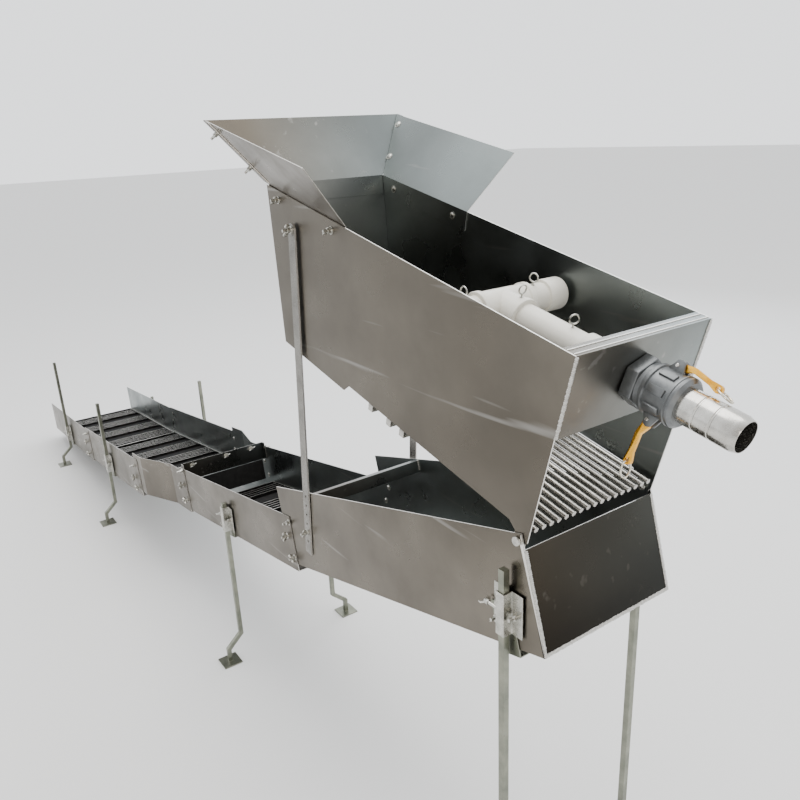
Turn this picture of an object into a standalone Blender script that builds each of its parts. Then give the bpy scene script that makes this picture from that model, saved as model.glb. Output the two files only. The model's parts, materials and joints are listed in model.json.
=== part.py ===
"""Highbanker sluice box: a tilted hopper with a grizzly and spray bar over a header box, which
feeds a stepped chain of riffled trays on square legs. Metres, +Z up, +X upstream, -Y near side."""

import math

import bmesh
import bpy
from mathutils import Matrix, Vector

for item in list(bpy.data.objects):
    bpy.data.objects.remove(item, do_unlink=True)

# Hopper
HOPPER_WIDTH = 0.300
HOPPER_DEPTH = 0.331
HOPPER_SHEET = 0.003
HOPPER_FALL = math.radians(12.4)
HOPPER_BASE_LENGTH = 0.799
HOPPER_BACK_LEAN = 0.091
HOPPER_FRONT_LEAN = 0.0158
HOPPER_FLOOR_LENGTH = 0.235
HOPPER_SUNK = 0.0179
NOTCH_START = 0.545
NOTCH_END = 0.045
NOTCH_RISE = 0.018
FRONT_OPENING = 0.1946
RIM_DEPTH = 0.028
RIM_TURN = 0.008
PIVOT_BACK = 0.0158
PIVOT_DROP = 0.0029
PIVOT_EAR_RADIUS = 0.013
PIVOT_BOLT_RADIUS = 0.004
PIVOT_HEAD_RADIUS = 0.008
PIVOT_HEAD_LENGTH = 0.005
PIVOT_NUT_RADIUS = 0.0075
PIVOT_NUT_LENGTH = 0.006
PIVOT_THREAD_PROUD = 0.002

# Wings
WING_SHEET = 0.002
WING_RISE = 0.115
WING_REACH = 0.0973
WING_BACK_REACH = 0.1004
WING_LENGTH = 0.318
WING_NOSE = 0.011
WING_FLANGE = 0.040
WING_RETURN = 0.025

# Grizzly
BAR_RADIUS = 0.005
BAR_PITCH = 0.0167
BAR_LENGTH = 0.566
BAR_SIDE_GAP = 0.003
RAIL_SIZE = 0.014
RAIL_PLACES = (0.342, 0.385, 0.447)
RAIL_CENTRE = 0.0095

# Water line
LINE_HEIGHT = 0.262
PIPE_RADIUS = 0.025
PIPE_WALL = 0.003
PIPE_HOLE_CLEARANCE = 0.001
SPRAY_PLACE = 0.287
SPRAY_SIDE_GAP = 0.009
CAP_WALL = 0.005
CAP_LENGTH = 0.034
SPRAY_HOLE_RADIUS = 0.0025
SPRAY_HOLES = 8
SPRAY_AIM = math.radians(215)
TEE_LENGTH = 0.116
TEE_BRANCH_LENGTH = 0.062
TEE_WALL = 0.004
TEE_BRANCH_WALL = 0.0055
BRANCH_STEP = 0.0015
SLEEVE_START = 0.200
SLEEVE_LENGTH = 0.036
SLEEVE_WALL = 0.005
UNION_START = 0.245
UNION_BACK = 0.022
UNION_WALL = 0.008
HEX_FLATS = 0.072
HEX_LENGTH = 0.030
HEX_TURN = math.radians(20)
HEX_NOSE_LENGTH = 0.009
HEX_NOSE_RADIUS = 0.034
COUPLER_RADIUS = 0.039
COUPLER_LENGTH = 0.058
COUPLER_RIM = 0.006
COUPLER_COLLAR = 0.014
COUPLER_RECESS = 0.0025
COUPLER_CHAMFER = 0.006
SHANK_RADIUS = 0.027
SHANK_LENGTH = 0.092
SHANK_WALL = 0.004
SHANK_NOSE_LENGTH = 0.010
SHANK_NOSE_DROP = 0.004
EAR_TURN = math.radians(26.0)
EAR_PLACE = 0.0195
EAR_PIN_PROUD = 0.004
EAR_GAP = 0.0092
EAR_THICKNESS = 0.004
LEVER_THICKNESS = 0.008
LEVER_LENGTH = 0.066
LEVER_CRANK = -0.004
LEVER_EYE_RADIUS = 0.0065
LEVER_OPEN = math.radians(92)
LEVER_PIN_RADIUS = 0.003
RING_RADIUS = 0.013
RING_WIRE = 0.0016
RING_EYE_RADIUS = 0.0035
RING_HANG = math.radians(18)

# Trays
HEADER_SHEET = 0.003
HEADER_LENGTH = 0.940
HEADER_SIDE = 0.206
HEADER_FALL = math.radians(15.9)
HEADER_FOOT_PLACE = 0.0478
END_PLATE_DROP = 0.027
LIP_PLACE = 0.724
LIP_FACE = 0.030
LIP_TOP = 0.022
TRAY_SHEET = 0.002
TRAY_LENGTH = 0.900
TRAY_SIDE = 0.150
FLARE_LENGTH = 0.470
FLARE_FOLDS = (0.150, 0.360)
FAR_WIDTH = 0.4200
MID_FALL = math.radians(10.9)
FLARE_FALL = math.radians(8.3)
LAST_FALL = math.radians(6.2)
NEST_GAP = 0.0006
HEADER_SIDE_GAP = 0.001
END_HEIGHT = 0.0629
JOINTS = {"mid": (0.0371, 0.0188), "flare": (0.0593, 0.0070),
          "upper": (0.0536, 0.0189), "lower": (0.0653, 0.0085)}

# Mats, riffles and damper
MAT_THICKNESS = 0.005
MAT_MARGIN = 0.006
MAT_START_GAP = 0.010
MAT_END_GAP = 0.004
MAT_DAMPER_GAP = 0.040
MAT_SIDE_GAP = 0.001
RIFFLE_HEIGHT = 0.012
RIFFLE_BAR = 0.003
RIFFLE_PITCH = 0.024
RIFFLES_IN_GROUP = 5
GROUP_PITCH = 0.210
RACK_END_BAY = 0.020
RACK_FIRST_BAY = 0.030
DAMPER_FROM_END = 0.033
DAMPER_HEIGHT = 0.062
DAMPER_PROUD = 0.014
DAMPER_FLANGE = 0.022
FLAP_THICKNESS = 0.003
FLAP_ABOVE_FLOOR = 0.026
FLAP_SIDE_GAP = 0.012
FLAP_HINGE_GAP = 0.002

# Legs and their clamps
LEG_SIZE = 0.013
LEG_SETOFF = 0.0082
LEG_CLEARANCE = 0.0005
BEND_HEIGHT = 0.090
BEND_REACH = 0.047
STUB_HEIGHT = 0.047
FOOT_SIZE = 0.060
FOOT_THICKNESS = 0.004
HEADER_LEG_PROUD = 0.0814
TRAY_LEG_PROUD = 0.0529
SHORT_LEG_PROUD = 0.0962
HEADER_BRACKET_PLACE = 0.0824
TRAY_BRACKET_PLACE = 0.465
HEADER_BRACKET_RISE = 0.072
TRAY_BRACKET_RISE = 0.056
BRACKET_HEIGHT = 0.080
BRACKET_FLANGE = 0.024
BRACKET_SHEET = 0.0025
CRADLE_WIDTH = 0.050
CRADLE_HEIGHT = 0.078
CRADLE_SHEET = 0.0025
HEADER_CRADLE_DROP = 0.014
TRAY_CRADLE_DROP = 0.008
SCREW_RADIUS = 0.003
SCREW_REACH = 0.037
KNOB_RADIUS = 0.005
KNOB_LENGTH = 0.008

# Straps
STRAP_WIDTH = 0.028
STRAP_THICKNESS = 0.004
STRAP_BOLT_BACK = 0.761
STRAP_BOLT_DROP = 0.060
STRAP_FOOT_PLACE = 0.793
STRAP_FOOT_HEIGHT = 0.104
STRAP_TAIL = 0.060
STRAP_HOLE_RADIUS = 0.0035
STRAP_HOLE_PITCH = 0.025
STRAP_HOLES = 6

GAP = 0.0003
SIDES = {"near": -1, "far": 1}

model = bpy.data.collections.new("sluice_box")
tools = bpy.data.collections.new("cutters")
for group in (model, tools):
    bpy.context.scene.collection.children.link(group)


def finish(name, colour, roughness, metallic):
    """A plain surface finish for one kind of metal, rubber or plastic."""
    material = bpy.data.materials.new(name)
    material.use_nodes = True
    shader = material.node_tree.nodes["Principled BSDF"]
    shader.inputs["Base Color"].default_value = (*colour, 1.0)
    shader.inputs["Roughness"].default_value = roughness
    shader.inputs["Metallic"].default_value = metallic
    return material


ALUMINIUM = finish("sheet_aluminium", (0.62, 0.60, 0.56), 0.30, 1.0)
BAR_METAL = finish("bright_bar", (0.70, 0.69, 0.66), 0.28, 1.0)
ZINC = finish("zinc_plate", (0.60, 0.63, 0.57), 0.40, 1.0)
RUBBER = finish("black_rubber", (0.015, 0.015, 0.015), 0.60, 0.0)
PLASTIC_PIPE = finish("white_pipe", (0.74, 0.72, 0.66), 0.35, 0.0)
CAST_GREY = finish("grey_casting", (0.30, 0.31, 0.31), 0.45, 0.8)
YELLOW_ZINC = finish("yellow_zinc", (0.80, 0.50, 0.10), 0.30, 1.0)


def frame(name, parent, place, turn=(0.0, 0.0, 0.0)):
    """An empty that carries the pieces fixed to it."""
    empty = bpy.data.objects.new(name, None)
    empty.empty_display_size = 0.05
    empty.parent = parent
    empty.location = place
    empty.rotation_euler = turn
    bpy.context.scene.collection.objects.link(empty)
    return empty


def add(name, mesh, parent, material, place=(0, 0, 0), turn=(0, 0, 0), group=model):
    """A mesh as a named object under its frame."""
    piece = bpy.data.objects.new(name, mesh)
    piece.parent = parent
    piece.location = place
    piece.rotation_euler = turn
    if material:
        mesh.materials.clear()
        mesh.materials.append(material)
    group.objects.link(piece)
    return piece


def tool(piece):
    """Turns a piece into a hidden cutter or a shape to be joined."""
    for holder in list(piece.users_collection):
        holder.objects.unlink(piece)
    tools.objects.link(piece)
    piece.hide_render = True
    piece.display_type = "WIRE"
    return piece


def boolean(piece, other, operation):
    tool(other)
    step = piece.modifiers.new(operation.lower(), "BOOLEAN")
    step.operation = operation
    step.solver = "EXACT"
    step.object = other


def cut(piece, *others):
    for other in others:
        boolean(piece, other, "DIFFERENCE")


def join(piece, *others):
    for other in others:
        boolean(piece, other, "UNION")


def solid_mesh(name, build):
    """A mesh made by a function that fills a bmesh."""
    shape = bmesh.new()
    build(shape)
    mesh = bpy.data.meshes.new(name)
    shape.to_mesh(mesh)
    shape.free()
    return mesh


PLANES = {"xy": Matrix.Identity(4),
          "xz": Matrix.Rotation(math.pi / 2, 4, "X"),
          "yz": Matrix.Rotation(math.pi / 2, 4, "Z") @ Matrix.Rotation(math.pi / 2, 4, "X")}


def outline_mesh(name, loops, thickness, plane):
    """A flat outline with its holes, as thick as asked, centred on the named plane."""
    curve = bpy.data.curves.new(name, "CURVE")
    curve.dimensions = "2D"
    curve.fill_mode = "BOTH"
    curve.extrude = thickness / 2
    for loop in loops:
        spline = curve.splines.new("POLY")
        spline.points.add(len(loop) - 1)
        for point, (across, up) in zip(spline.points, loop):
            point.co = (across, up, 0, 1)
        spline.use_cyclic_u = True
    holder = bpy.data.objects.new(name, curve)
    bpy.context.scene.collection.objects.link(holder)
    mesh = bpy.data.meshes.new_from_object(holder.evaluated_get(bpy.context.evaluated_depsgraph_get()))
    bpy.data.objects.remove(holder, do_unlink=True)
    shape = bmesh.new()
    shape.from_mesh(mesh)
    bmesh.ops.remove_doubles(shape, verts=shape.verts, dist=0.00001)
    bmesh.ops.transform(shape, matrix=PLANES[plane], verts=shape.verts)
    bmesh.ops.recalc_face_normals(shape, faces=shape.faces)
    shape.to_mesh(mesh)
    shape.free()
    return mesh


def box_mesh(name, low, high):
    """A box between two corners."""
    size = Vector(high) - Vector(low)
    middle = (Vector(high) + Vector(low)) / 2
    move = Matrix.Translation(middle) @ Matrix.Diagonal((*size, 1.0))
    return solid_mesh(name, lambda shape: bmesh.ops.create_cube(shape, size=1.0, matrix=move))


def rod_mesh(name, start, end, radius, sides=16):
    """A round bar between two points."""
    start, end = Vector(start), Vector(end)
    turn = (end - start).to_track_quat("Z", "Y").to_matrix().to_4x4()
    move = Matrix.Translation((start + end) / 2) @ turn
    return solid_mesh(name, lambda shape: bmesh.ops.create_cone(
        shape, cap_ends=True, segments=sides, radius1=radius, radius2=radius,
        depth=(end - start).length, matrix=move))


def arc(centre, radius, first, last, steps):
    """Points along an arc, angles in degrees."""
    angles = [math.radians(first + (last - first) * step / steps) for step in range(steps + 1)]
    return [(centre[0] + radius * math.cos(a), centre[1] + radius * math.sin(a)) for a in angles]


def circle(centre, radius, steps=12):
    return arc(centre, radius, 0, 360 * (steps - 1) / steps, steps - 1)


def turned_mesh(name, profile, sides=24):
    """A closed section (along, radius) turned about the X axis."""
    def build(shape):
        ring = [shape.verts.new((along, 0, radius)) for along, radius in profile]
        edges = [shape.edges.new((ring[i - 1], ring[i])) for i in range(len(ring))]
        bmesh.ops.spin(shape, geom=ring + edges, cent=(0, 0, 0), axis=(1, 0, 0),
                       angle=2 * math.pi, steps=sides, use_merge=True)
        bmesh.ops.remove_doubles(shape, verts=shape.verts, dist=0.00001)
        bmesh.ops.recalc_face_normals(shape, faces=shape.faces)
    return solid_mesh(name, build)


def smooth(piece):
    piece.data.shade_smooth()
    piece.data.set_sharp_from_angle(angle=math.radians(35))
    return piece


# Frames: each tray's frame is its lower upstream corner, with X running up the floor
root = frame("sluice_box_origin", None, (0, 0, 0))


def fallen(length, fall):
    """Where a point a length down a slope lies from its start, as (x, z)."""
    return Vector((-length * math.cos(fall), -length * math.sin(fall)))


chain = (("mid", HEADER_LENGTH, HEADER_FALL), ("flare", TRAY_LENGTH, MID_FALL),
         ("upper", FLARE_LENGTH, FLARE_FALL), ("lower", TRAY_LENGTH, FLARE_FALL))
chain_fall = TRAY_LENGTH * math.sin(LAST_FALL) + sum(
    (length - JOINTS[tray][0]) * math.sin(fall) + JOINTS[tray][1] for tray, length, fall in chain)
header_foot = Vector((HEADER_FOOT_PLACE, END_HEIGHT + chain_fall))
corners = {"header": header_foot}
corner = header_foot
for tray, length, fall in chain:
    overlap, drop = JOINTS[tray]
    corner = corner + fallen(length - overlap, fall) + Vector((0, -drop))
    corners[tray] = corner
FALLS = {"header": HEADER_FALL, "mid": MID_FALL, "flare": FLARE_FALL,
         "upper": FLARE_FALL, "lower": LAST_FALL}

header_rim = header_foot.y + HEADER_SIDE / math.cos(HEADER_FALL) - header_foot.x * math.tan(HEADER_FALL)
hopper_low = Vector((0.0, header_rim - HOPPER_SUNK))
hopper = frame("hopper_frame", root, (hopper_low.x, 0, hopper_low.y), (0, HOPPER_FALL, 0))
trays = {tray: frame(tray + "_frame", root, (place.x, 0, place.y), (0, -FALLS[tray], 0))
         for tray, place in corners.items()}

# Widths of the nested trays, outside to outside
header_width = HOPPER_WIDTH + 2 * (HEADER_SHEET + HEADER_SIDE_GAP)
mid_width = header_width + 2 * (TRAY_SHEET + NEST_GAP)
flare_width = mid_width + 2 * (TRAY_SHEET + NEST_GAP)
upper_width = FAR_WIDTH + 2 * (TRAY_SHEET + NEST_GAP)
lower_width = upper_width + 2 * (TRAY_SHEET + NEST_GAP)
WIDTHS = {"header": header_width, "mid": mid_width, "flare": flare_width,
          "upper": upper_width, "lower": lower_width}


def folded_tray(name, tray, length, side, sheet, closed_end, folds=()):
    """A sheet channel: floor and two sides, with an end plate where the upstream end is closed."""
    width = WIDTHS[tray]

    def build(shape):
        move = (Matrix.Translation((-length / 2, 0, side / 2))
                @ Matrix.Diagonal((length, width, side, 1.0)))
        bmesh.ops.create_cube(shape, size=1.0, matrix=move)
        open_faces = [face for face in shape.faces
                      if face.normal.z > 0.9 or face.normal.x < -0.9
                      or (face.normal.x > 0.9 and not closed_end)]
        bmesh.ops.delete(shape, geom=open_faces, context="FACES")
        for fold in folds:
            bmesh.ops.bisect_plane(shape, geom=shape.verts[:] + shape.edges[:] + shape.faces[:],
                                   plane_co=(-fold, 0, 0), plane_no=(1, 0, 0))
        for vert in shape.verts:
            if folds and vert.co.x < -folds[1] + 0.0001:
                vert.co.y = math.copysign(FAR_WIDTH / 2, vert.co.y)

    piece = add(name, solid_mesh(name, build), trays[tray], ALUMINIUM)
    wall = piece.modifiers.new("wall", "SOLIDIFY")
    wall.thickness = sheet
    wall.offset = -1.0
    wall.use_even_offset = True
    return piece


# Header box: welded end plate, a cross lip over its floor, and holes for the hopper's pivots
header = folded_tray("header_box", "header", HEADER_LENGTH, HEADER_SIDE, HEADER_SHEET, True)
inner = header_width / 2 - HEADER_SHEET
cut(header, add("end_plate_trim", box_mesh("end_plate_trim", (-0.010, -inner, HEADER_SIDE - END_PLATE_DROP),
                                           (0.010, inner, HEADER_SIDE + 0.010)), trays["header"], None))
lip_outline = [(0, 0), (0, -LIP_FACE), (-HEADER_SHEET, -LIP_FACE), (-HEADER_SHEET, -HEADER_SHEET),
               (-LIP_TOP, -HEADER_SHEET), (-LIP_TOP, 0)]
lip_top = HEADER_SIDE - 0.003
join(header, add("lip_bar", outline_mesh("lip_bar", [lip_outline], 2 * inner + 0.002, "xz"),
                 trays["header"], None, (-LIP_PLACE, 0, lip_top)))

pivot_in_hopper = Vector((-PIVOT_BACK, 0, -PIVOT_DROP))
pivot = frame("pivot_axis", hopper, pivot_in_hopper)
pivot_hole = rod_mesh("pivot_hole", (0, -header_width, 0), (0, header_width, 0), PIVOT_BOLT_RADIUS + GAP)
cut(header, add("header_pivot_drill", pivot_hole, pivot, None))

folded_tray("mid_tray", "mid", TRAY_LENGTH, TRAY_SIDE, TRAY_SHEET, False)
folded_tray("flare_tray", "flare", FLARE_LENGTH, TRAY_SIDE, TRAY_SHEET, False, FLARE_FOLDS)
folded_tray("upper_far_tray", "upper", TRAY_LENGTH, TRAY_SIDE, TRAY_SHEET, False)
folded_tray("lower_far_tray", "lower", TRAY_LENGTH, TRAY_SIDE, TRAY_SHEET, False)

# Hopper shell: two sides, a bent back and floor, and a front plate with a folded rim
back_top = -(HOPPER_BASE_LENGTH + HOPPER_BACK_LEAN)
side_outline = ([(0, 0), (HOPPER_FRONT_LEAN, HOPPER_DEPTH), (back_top, HOPPER_DEPTH),
                 (-HOPPER_BASE_LENGTH, 0), (-NOTCH_START, 0), (-NOTCH_START + NOTCH_RISE, NOTCH_RISE),
                 (-NOTCH_END, NOTCH_RISE), (-PIVOT_BACK - PIVOT_EAR_RADIUS, NOTCH_RISE * 0.4)]
                + arc((-PIVOT_BACK, -PIVOT_DROP), PIVOT_EAR_RADIUS, 180, 360, 8))
pivot_bore = circle((-PIVOT_BACK, -PIVOT_DROP), PIVOT_BOLT_RADIUS + GAP)
for side, sign in SIDES.items():
    mesh = outline_mesh("hopper_side_" + side, [side_outline, pivot_bore], HOPPER_SHEET, "xz")
    add("hopper_side_" + side, mesh, hopper, ALUMINIUM,
        (0, sign * (HOPPER_WIDTH - HOPPER_SHEET) / 2, 0))

between_sides = HOPPER_WIDTH - 2 * (HOPPER_SHEET + GAP)
back_slope = HOPPER_BACK_LEAN / HOPPER_DEPTH
back_across = HOPPER_SHEET * math.hypot(1, back_slope)
floor_end = -HOPPER_BASE_LENGTH + HOPPER_FLOOR_LENGTH
back_outline = [(floor_end, 0), (floor_end, HOPPER_SHEET),
                (-HOPPER_BASE_LENGTH - back_slope * HOPPER_SHEET + back_across, HOPPER_SHEET),
                (back_top + back_across, HOPPER_DEPTH), (back_top, HOPPER_DEPTH),
                (-HOPPER_BASE_LENGTH, 0)]
add("hopper_back_floor", outline_mesh("hopper_back_floor", [back_outline], between_sides, "xz"),
    hopper, ALUMINIUM)

front_slope = HOPPER_FRONT_LEAN / HOPPER_DEPTH


def on_front(height, behind=0.0):
    """A point on the hopper's front edge at a height above its floor, or behind it."""
    return (front_slope * height - behind, height)


front_outline = [on_front(FRONT_OPENING), on_front(HOPPER_DEPTH), on_front(HOPPER_DEPTH, RIM_DEPTH),
                 on_front(HOPPER_DEPTH - RIM_TURN, RIM_DEPTH),
                 on_front(HOPPER_DEPTH - RIM_TURN, RIM_DEPTH - HOPPER_SHEET),
                 on_front(HOPPER_DEPTH - HOPPER_SHEET, RIM_DEPTH - HOPPER_SHEET),
                 on_front(HOPPER_DEPTH - HOPPER_SHEET, HOPPER_SHEET), on_front(FRONT_OPENING, HOPPER_SHEET)]
front = add("hopper_front", outline_mesh("hopper_front", [front_outline], between_sides, "xz"),
            hopper, ALUMINIUM)
cut(front, add("pipe_hole", rod_mesh("pipe_hole", (-0.02, 0, LINE_HEIGHT), (0.05, 0, LINE_HEIGHT),
                                     PIPE_RADIUS + PIPE_HOLE_CLEARANCE, 24), hopper, None))

# Pivot bolts: a round head outside the header and a nut inside the hopper
for side, sign in SIDES.items():
    outer = header_width / 2 + GAP
    inner_face = HOPPER_WIDTH / 2 - HOPPER_SHEET - GAP
    head_top = outer + PIVOT_HEAD_LENGTH
    nut_end = inner_face - PIVOT_NUT_LENGTH
    shank = rod_mesh("pivot_shank", (0, sign * (nut_end - PIVOT_THREAD_PROUD), 0),
                     (0, sign * (outer + head_top) / 2, 0), PIVOT_BOLT_RADIUS)
    bolt = add("pivot_bolt_" + side, shank, pivot, ZINC)
    head = rod_mesh("pivot_head", (0, sign * outer, 0), (0, sign * head_top, 0), PIVOT_HEAD_RADIUS)
    nut = rod_mesh("pivot_nut", (0, sign * nut_end, 0), (0, sign * inner_face, 0), PIVOT_NUT_RADIUS, 6)
    join(bolt, add("pivot_head_" + side, head, pivot, None), add("pivot_nut_" + side, nut, pivot, None))

# Wings: flared sheets with a flange folded down inside the hopper's rim
fold_height = HOPPER_DEPTH + GAP
flange_face = HOPPER_WIDTH / 2 - HOPPER_SHEET - GAP
back_face = back_top + back_across + GAP
flange_back = back_face + back_slope * WING_FLANGE
wing_slant = math.hypot(WING_RISE, WING_REACH)
setback = (WING_SHEET + 2 * GAP) * math.hypot(WING_BACK_REACH, WING_RISE) / WING_RISE


def sheet_mesh(name, rows):
    """An open sheet through rows of points, where None leaves a bay out."""
    def build(shape):
        bmesh.ops.create_grid(shape, x_segments=len(rows[0]) - 1, y_segments=len(rows) - 1, size=0.5)
        shape.verts.ensure_lookup_table()
        spare = []
        for vert, point in zip(list(shape.verts), [point for row in rows for point in row]):
            if point is None:
                spare.append(vert)
            else:
                vert.co = point
        bmesh.ops.delete(shape, geom=spare, context="VERTS")
    return solid_mesh(name, build)


def thicken(piece, thickness, offset):
    wall = piece.modifiers.new("wall", "SOLIDIFY")
    wall.thickness = thickness
    wall.offset = offset
    wall.use_even_offset = True
    return piece


wing_front = -(HOPPER_BASE_LENGTH + HOPPER_BACK_LEAN) + WING_LENGTH
for side, sign in SIDES.items():
    rows = [[(flange_back + setback, sign * flange_face, fold_height - WING_FLANGE),
             (wing_front, sign * flange_face, fold_height - WING_FLANGE)],
            [(back_face + setback, sign * flange_face, fold_height),
             (wing_front, sign * flange_face, fold_height)],
            [(back_face - WING_BACK_REACH + setback, sign * (flange_face + WING_REACH),
              fold_height + WING_RISE),
             (wing_front + WING_NOSE, sign * (flange_face + WING_REACH), fold_height + WING_RISE)]]
    thicken(add("wing_" + side, sheet_mesh("wing_" + side, rows), hopper, ALUMINIUM),
            WING_SHEET, sign * 1.0)

lap = (WING_SHEET + GAP) * wing_slant / WING_RISE
edge = flange_face - 0.0012
return_start = fold_height + 0.007


def wing_point(along, across, height):
    """A point on the back wing, a share of the way up it, set across and upstream."""
    return (back_face - WING_BACK_REACH * height + along, across, fold_height + WING_RISE * height)


lift = (return_start - fold_height) / WING_RISE
rows = [[None, None, (flange_back, -edge, fold_height - WING_FLANGE),
         (flange_back, edge, fold_height - WING_FLANGE), None, None],
        [wing_point(WING_RETURN, -(flange_face + lap + WING_REACH * lift), lift),
         wing_point(0, -(flange_face + lap + WING_REACH * lift), lift),
         wing_point(0, -edge, 0), wing_point(0, edge, 0),
         wing_point(0, flange_face + lap + WING_REACH * lift, lift),
         wing_point(WING_RETURN, flange_face + lap + WING_REACH * lift, lift)],
        [wing_point(WING_RETURN, -(flange_face + lap + WING_REACH), 1),
         wing_point(0, -(flange_face + lap + WING_REACH), 1),
         wing_point(0, -edge - WING_REACH, 1), wing_point(0, edge + WING_REACH, 1),
         wing_point(0, flange_face + lap + WING_REACH, 1),
         wing_point(WING_RETURN, flange_face + lap + WING_REACH, 1)]]
thicken(add("wing_back", sheet_mesh("wing_back", rows), hopper, ALUMINIUM), WING_SHEET, 1.0)

# Grizzly: round bars on square cross rails, welded into one rack
bar_centre = RAIL_CENTRE + RAIL_SIZE / 2 + BAR_RADIUS - 0.001
bar_count = int((between_sides - 2 * (BAR_RADIUS + BAR_SIDE_GAP)) / BAR_PITCH) + 1
bar_places = [(index - (bar_count - 1) / 2) * BAR_PITCH for index in range(bar_count)]


def build_rails(shape):
    for place in RAIL_PLACES:
        move = (Matrix.Translation((-place, 0, RAIL_CENTRE))
                @ Matrix.Diagonal((RAIL_SIZE, HOPPER_WIDTH - 0.001, RAIL_SIZE, 1.0)))
        bmesh.ops.create_cube(shape, size=1.0, matrix=move)


def build_bars(shape):
    for place in bar_places:
        move = Matrix.Translation((-BAR_LENGTH / 2, place, bar_centre)) @ Matrix.Rotation(math.pi / 2, 4, "Y")
        bmesh.ops.create_cone(shape, cap_ends=True, segments=10, radius1=BAR_RADIUS,
                              radius2=BAR_RADIUS, depth=BAR_LENGTH, matrix=move)


grizzly = add("grizzly_rack", solid_mesh("grizzly_rack", build_rails), hopper, BAR_METAL)
join(grizzly, add("grizzly_bars", solid_mesh("grizzly_bars", build_bars), hopper, None))

# Spray manifold: glued pipe and fittings, hollow from the feed end to its spray holes
front_lean = front_slope * LINE_HEIGHT
line = frame("water_line", hopper, (front_lean, 0, LINE_HEIGHT))
tee = -(SPRAY_PLACE + front_lean)
spray_end = HOPPER_WIDTH / 2 - HOPPER_SHEET - SPRAY_SIDE_GAP
pipe_end = HEX_FLATS / math.sqrt(3) * front_slope


def rod(name, start, end, radius, sides=16):
    return add(name, rod_mesh(name, start, end, radius, sides), line, None)


manifold = rod("spray_manifold", (tee, -spray_end, 0), (tee, spray_end, 0), PIPE_RADIUS, 20)
manifold.data.materials.append(PLASTIC_PIPE)
join(manifold,
     rod("tee_body", (tee, -TEE_LENGTH / 2, 0), (tee, TEE_LENGTH / 2, 0), PIPE_RADIUS + TEE_WALL, 20),
     rod("feed_pipe", (tee, 0, 0), (pipe_end, 0, 0), PIPE_RADIUS, 20),
     rod("tee_branch", (tee, 0, 0), (tee + TEE_BRANCH_LENGTH, 0, 0), PIPE_RADIUS + TEE_BRANCH_WALL, 18),
     rod("feed_sleeve", (tee + SLEEVE_START, 0, 0), (tee + SLEEVE_START + SLEEVE_LENGTH, 0, 0),
         PIPE_RADIUS + SLEEVE_WALL, 20),
     rod("feed_union", (tee + UNION_START, 0, 0), (-UNION_BACK, 0, 0), PIPE_RADIUS + UNION_WALL, 20),
     *[rod("end_cap_" + side, (tee, sign * (spray_end - CAP_LENGTH), 0), (tee, sign * spray_end, 0),
           PIPE_RADIUS + CAP_WALL, 20) for side, sign in SIDES.items()])
bore_radius = PIPE_RADIUS - PIPE_WALL
cut(manifold,
    rod("cross_bore", (tee, -spray_end + PIPE_WALL, 0), (tee, spray_end - PIPE_WALL, 0), bore_radius),
    rod("feed_bore", (tee, 0, 0), (pipe_end + PIPE_RADIUS, 0, 0), bore_radius - BRANCH_STEP, 18))
hole_pitch = 2 * (spray_end - CAP_LENGTH) / SPRAY_HOLES


def build_spray_holes(shape):
    for index in range(SPRAY_HOLES):
        across = (index - (SPRAY_HOLES - 1) / 2) * hole_pitch
        move = (Matrix.Translation((tee, across, 0)) @ Matrix.Rotation(SPRAY_AIM, 4, "Y")
                @ Matrix.Translation((0, 0, PIPE_RADIUS)))
        bmesh.ops.create_cone(shape, cap_ends=True, segments=8, radius1=SPRAY_HOLE_RADIUS,
                              radius2=SPRAY_HOLE_RADIUS, depth=PIPE_RADIUS, matrix=move)


cut(manifold, add("spray_drill", solid_mesh("spray_drill", build_spray_holes), line, None))

# Hex union and the quick coupler with its hose shank
hex_start = HEX_FLATS / math.sqrt(3) * front_slope + GAP
coupler_start = hex_start + HEX_LENGTH + GAP
hex_body = HEX_LENGTH - HEX_NOSE_LENGTH
hexagon = [(HEX_FLATS / math.sqrt(3) * math.cos(HEX_TURN + math.pi / 3 * corner),
            HEX_FLATS / math.sqrt(3) * math.sin(HEX_TURN + math.pi / 3 * corner)) for corner in range(6)]
adapter = add("hex_adapter", outline_mesh("hex_adapter", [hexagon, circle((0, 0), bore_radius, 24)],
                                          hex_body, "yz"), line, CAST_GREY, (hex_start + hex_body / 2, 0, 0))
nose = turned_mesh("adapter_nose", [(hex_body - PIPE_WALL, bore_radius), (HEX_LENGTH, bore_radius),
                                    (HEX_LENGTH, HEX_NOSE_RADIUS), (hex_body - PIPE_WALL, HEX_NOSE_RADIUS)])
join(adapter, add("adapter_nose", nose, line, None, (hex_start, 0, 0)))

coupler_frame = frame("coupler_frame", line, (coupler_start, 0, 0), (-EAR_TURN, 0, 0))
shank_end = COUPLER_LENGTH + SHANK_LENGTH
bore = SHANK_RADIUS - SHANK_WALL
body_radius = COUPLER_RADIUS - COUPLER_RECESS
collar_start = COUPLER_LENGTH - COUPLER_COLLAR
coupler_profile = [(0, bore), (0, COUPLER_RADIUS), (COUPLER_RIM, COUPLER_RADIUS),
                   (COUPLER_RIM + COUPLER_RECESS / 2, body_radius),
                   (collar_start - COUPLER_RECESS / 2, body_radius), (collar_start, COUPLER_RADIUS),
                   (COUPLER_LENGTH - COUPLER_CHAMFER, COUPLER_RADIUS),
                   (COUPLER_LENGTH, COUPLER_RADIUS - COUPLER_CHAMFER), (COUPLER_LENGTH, SHANK_RADIUS),
                   (shank_end - SHANK_NOSE_LENGTH, SHANK_RADIUS), (shank_end, SHANK_RADIUS - SHANK_NOSE_DROP),
                   (shank_end, bore)]
coupler = smooth(add("hose_coupler", turned_mesh("hose_coupler", coupler_profile, 28),
                     coupler_frame, CAST_GREY))

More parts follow.
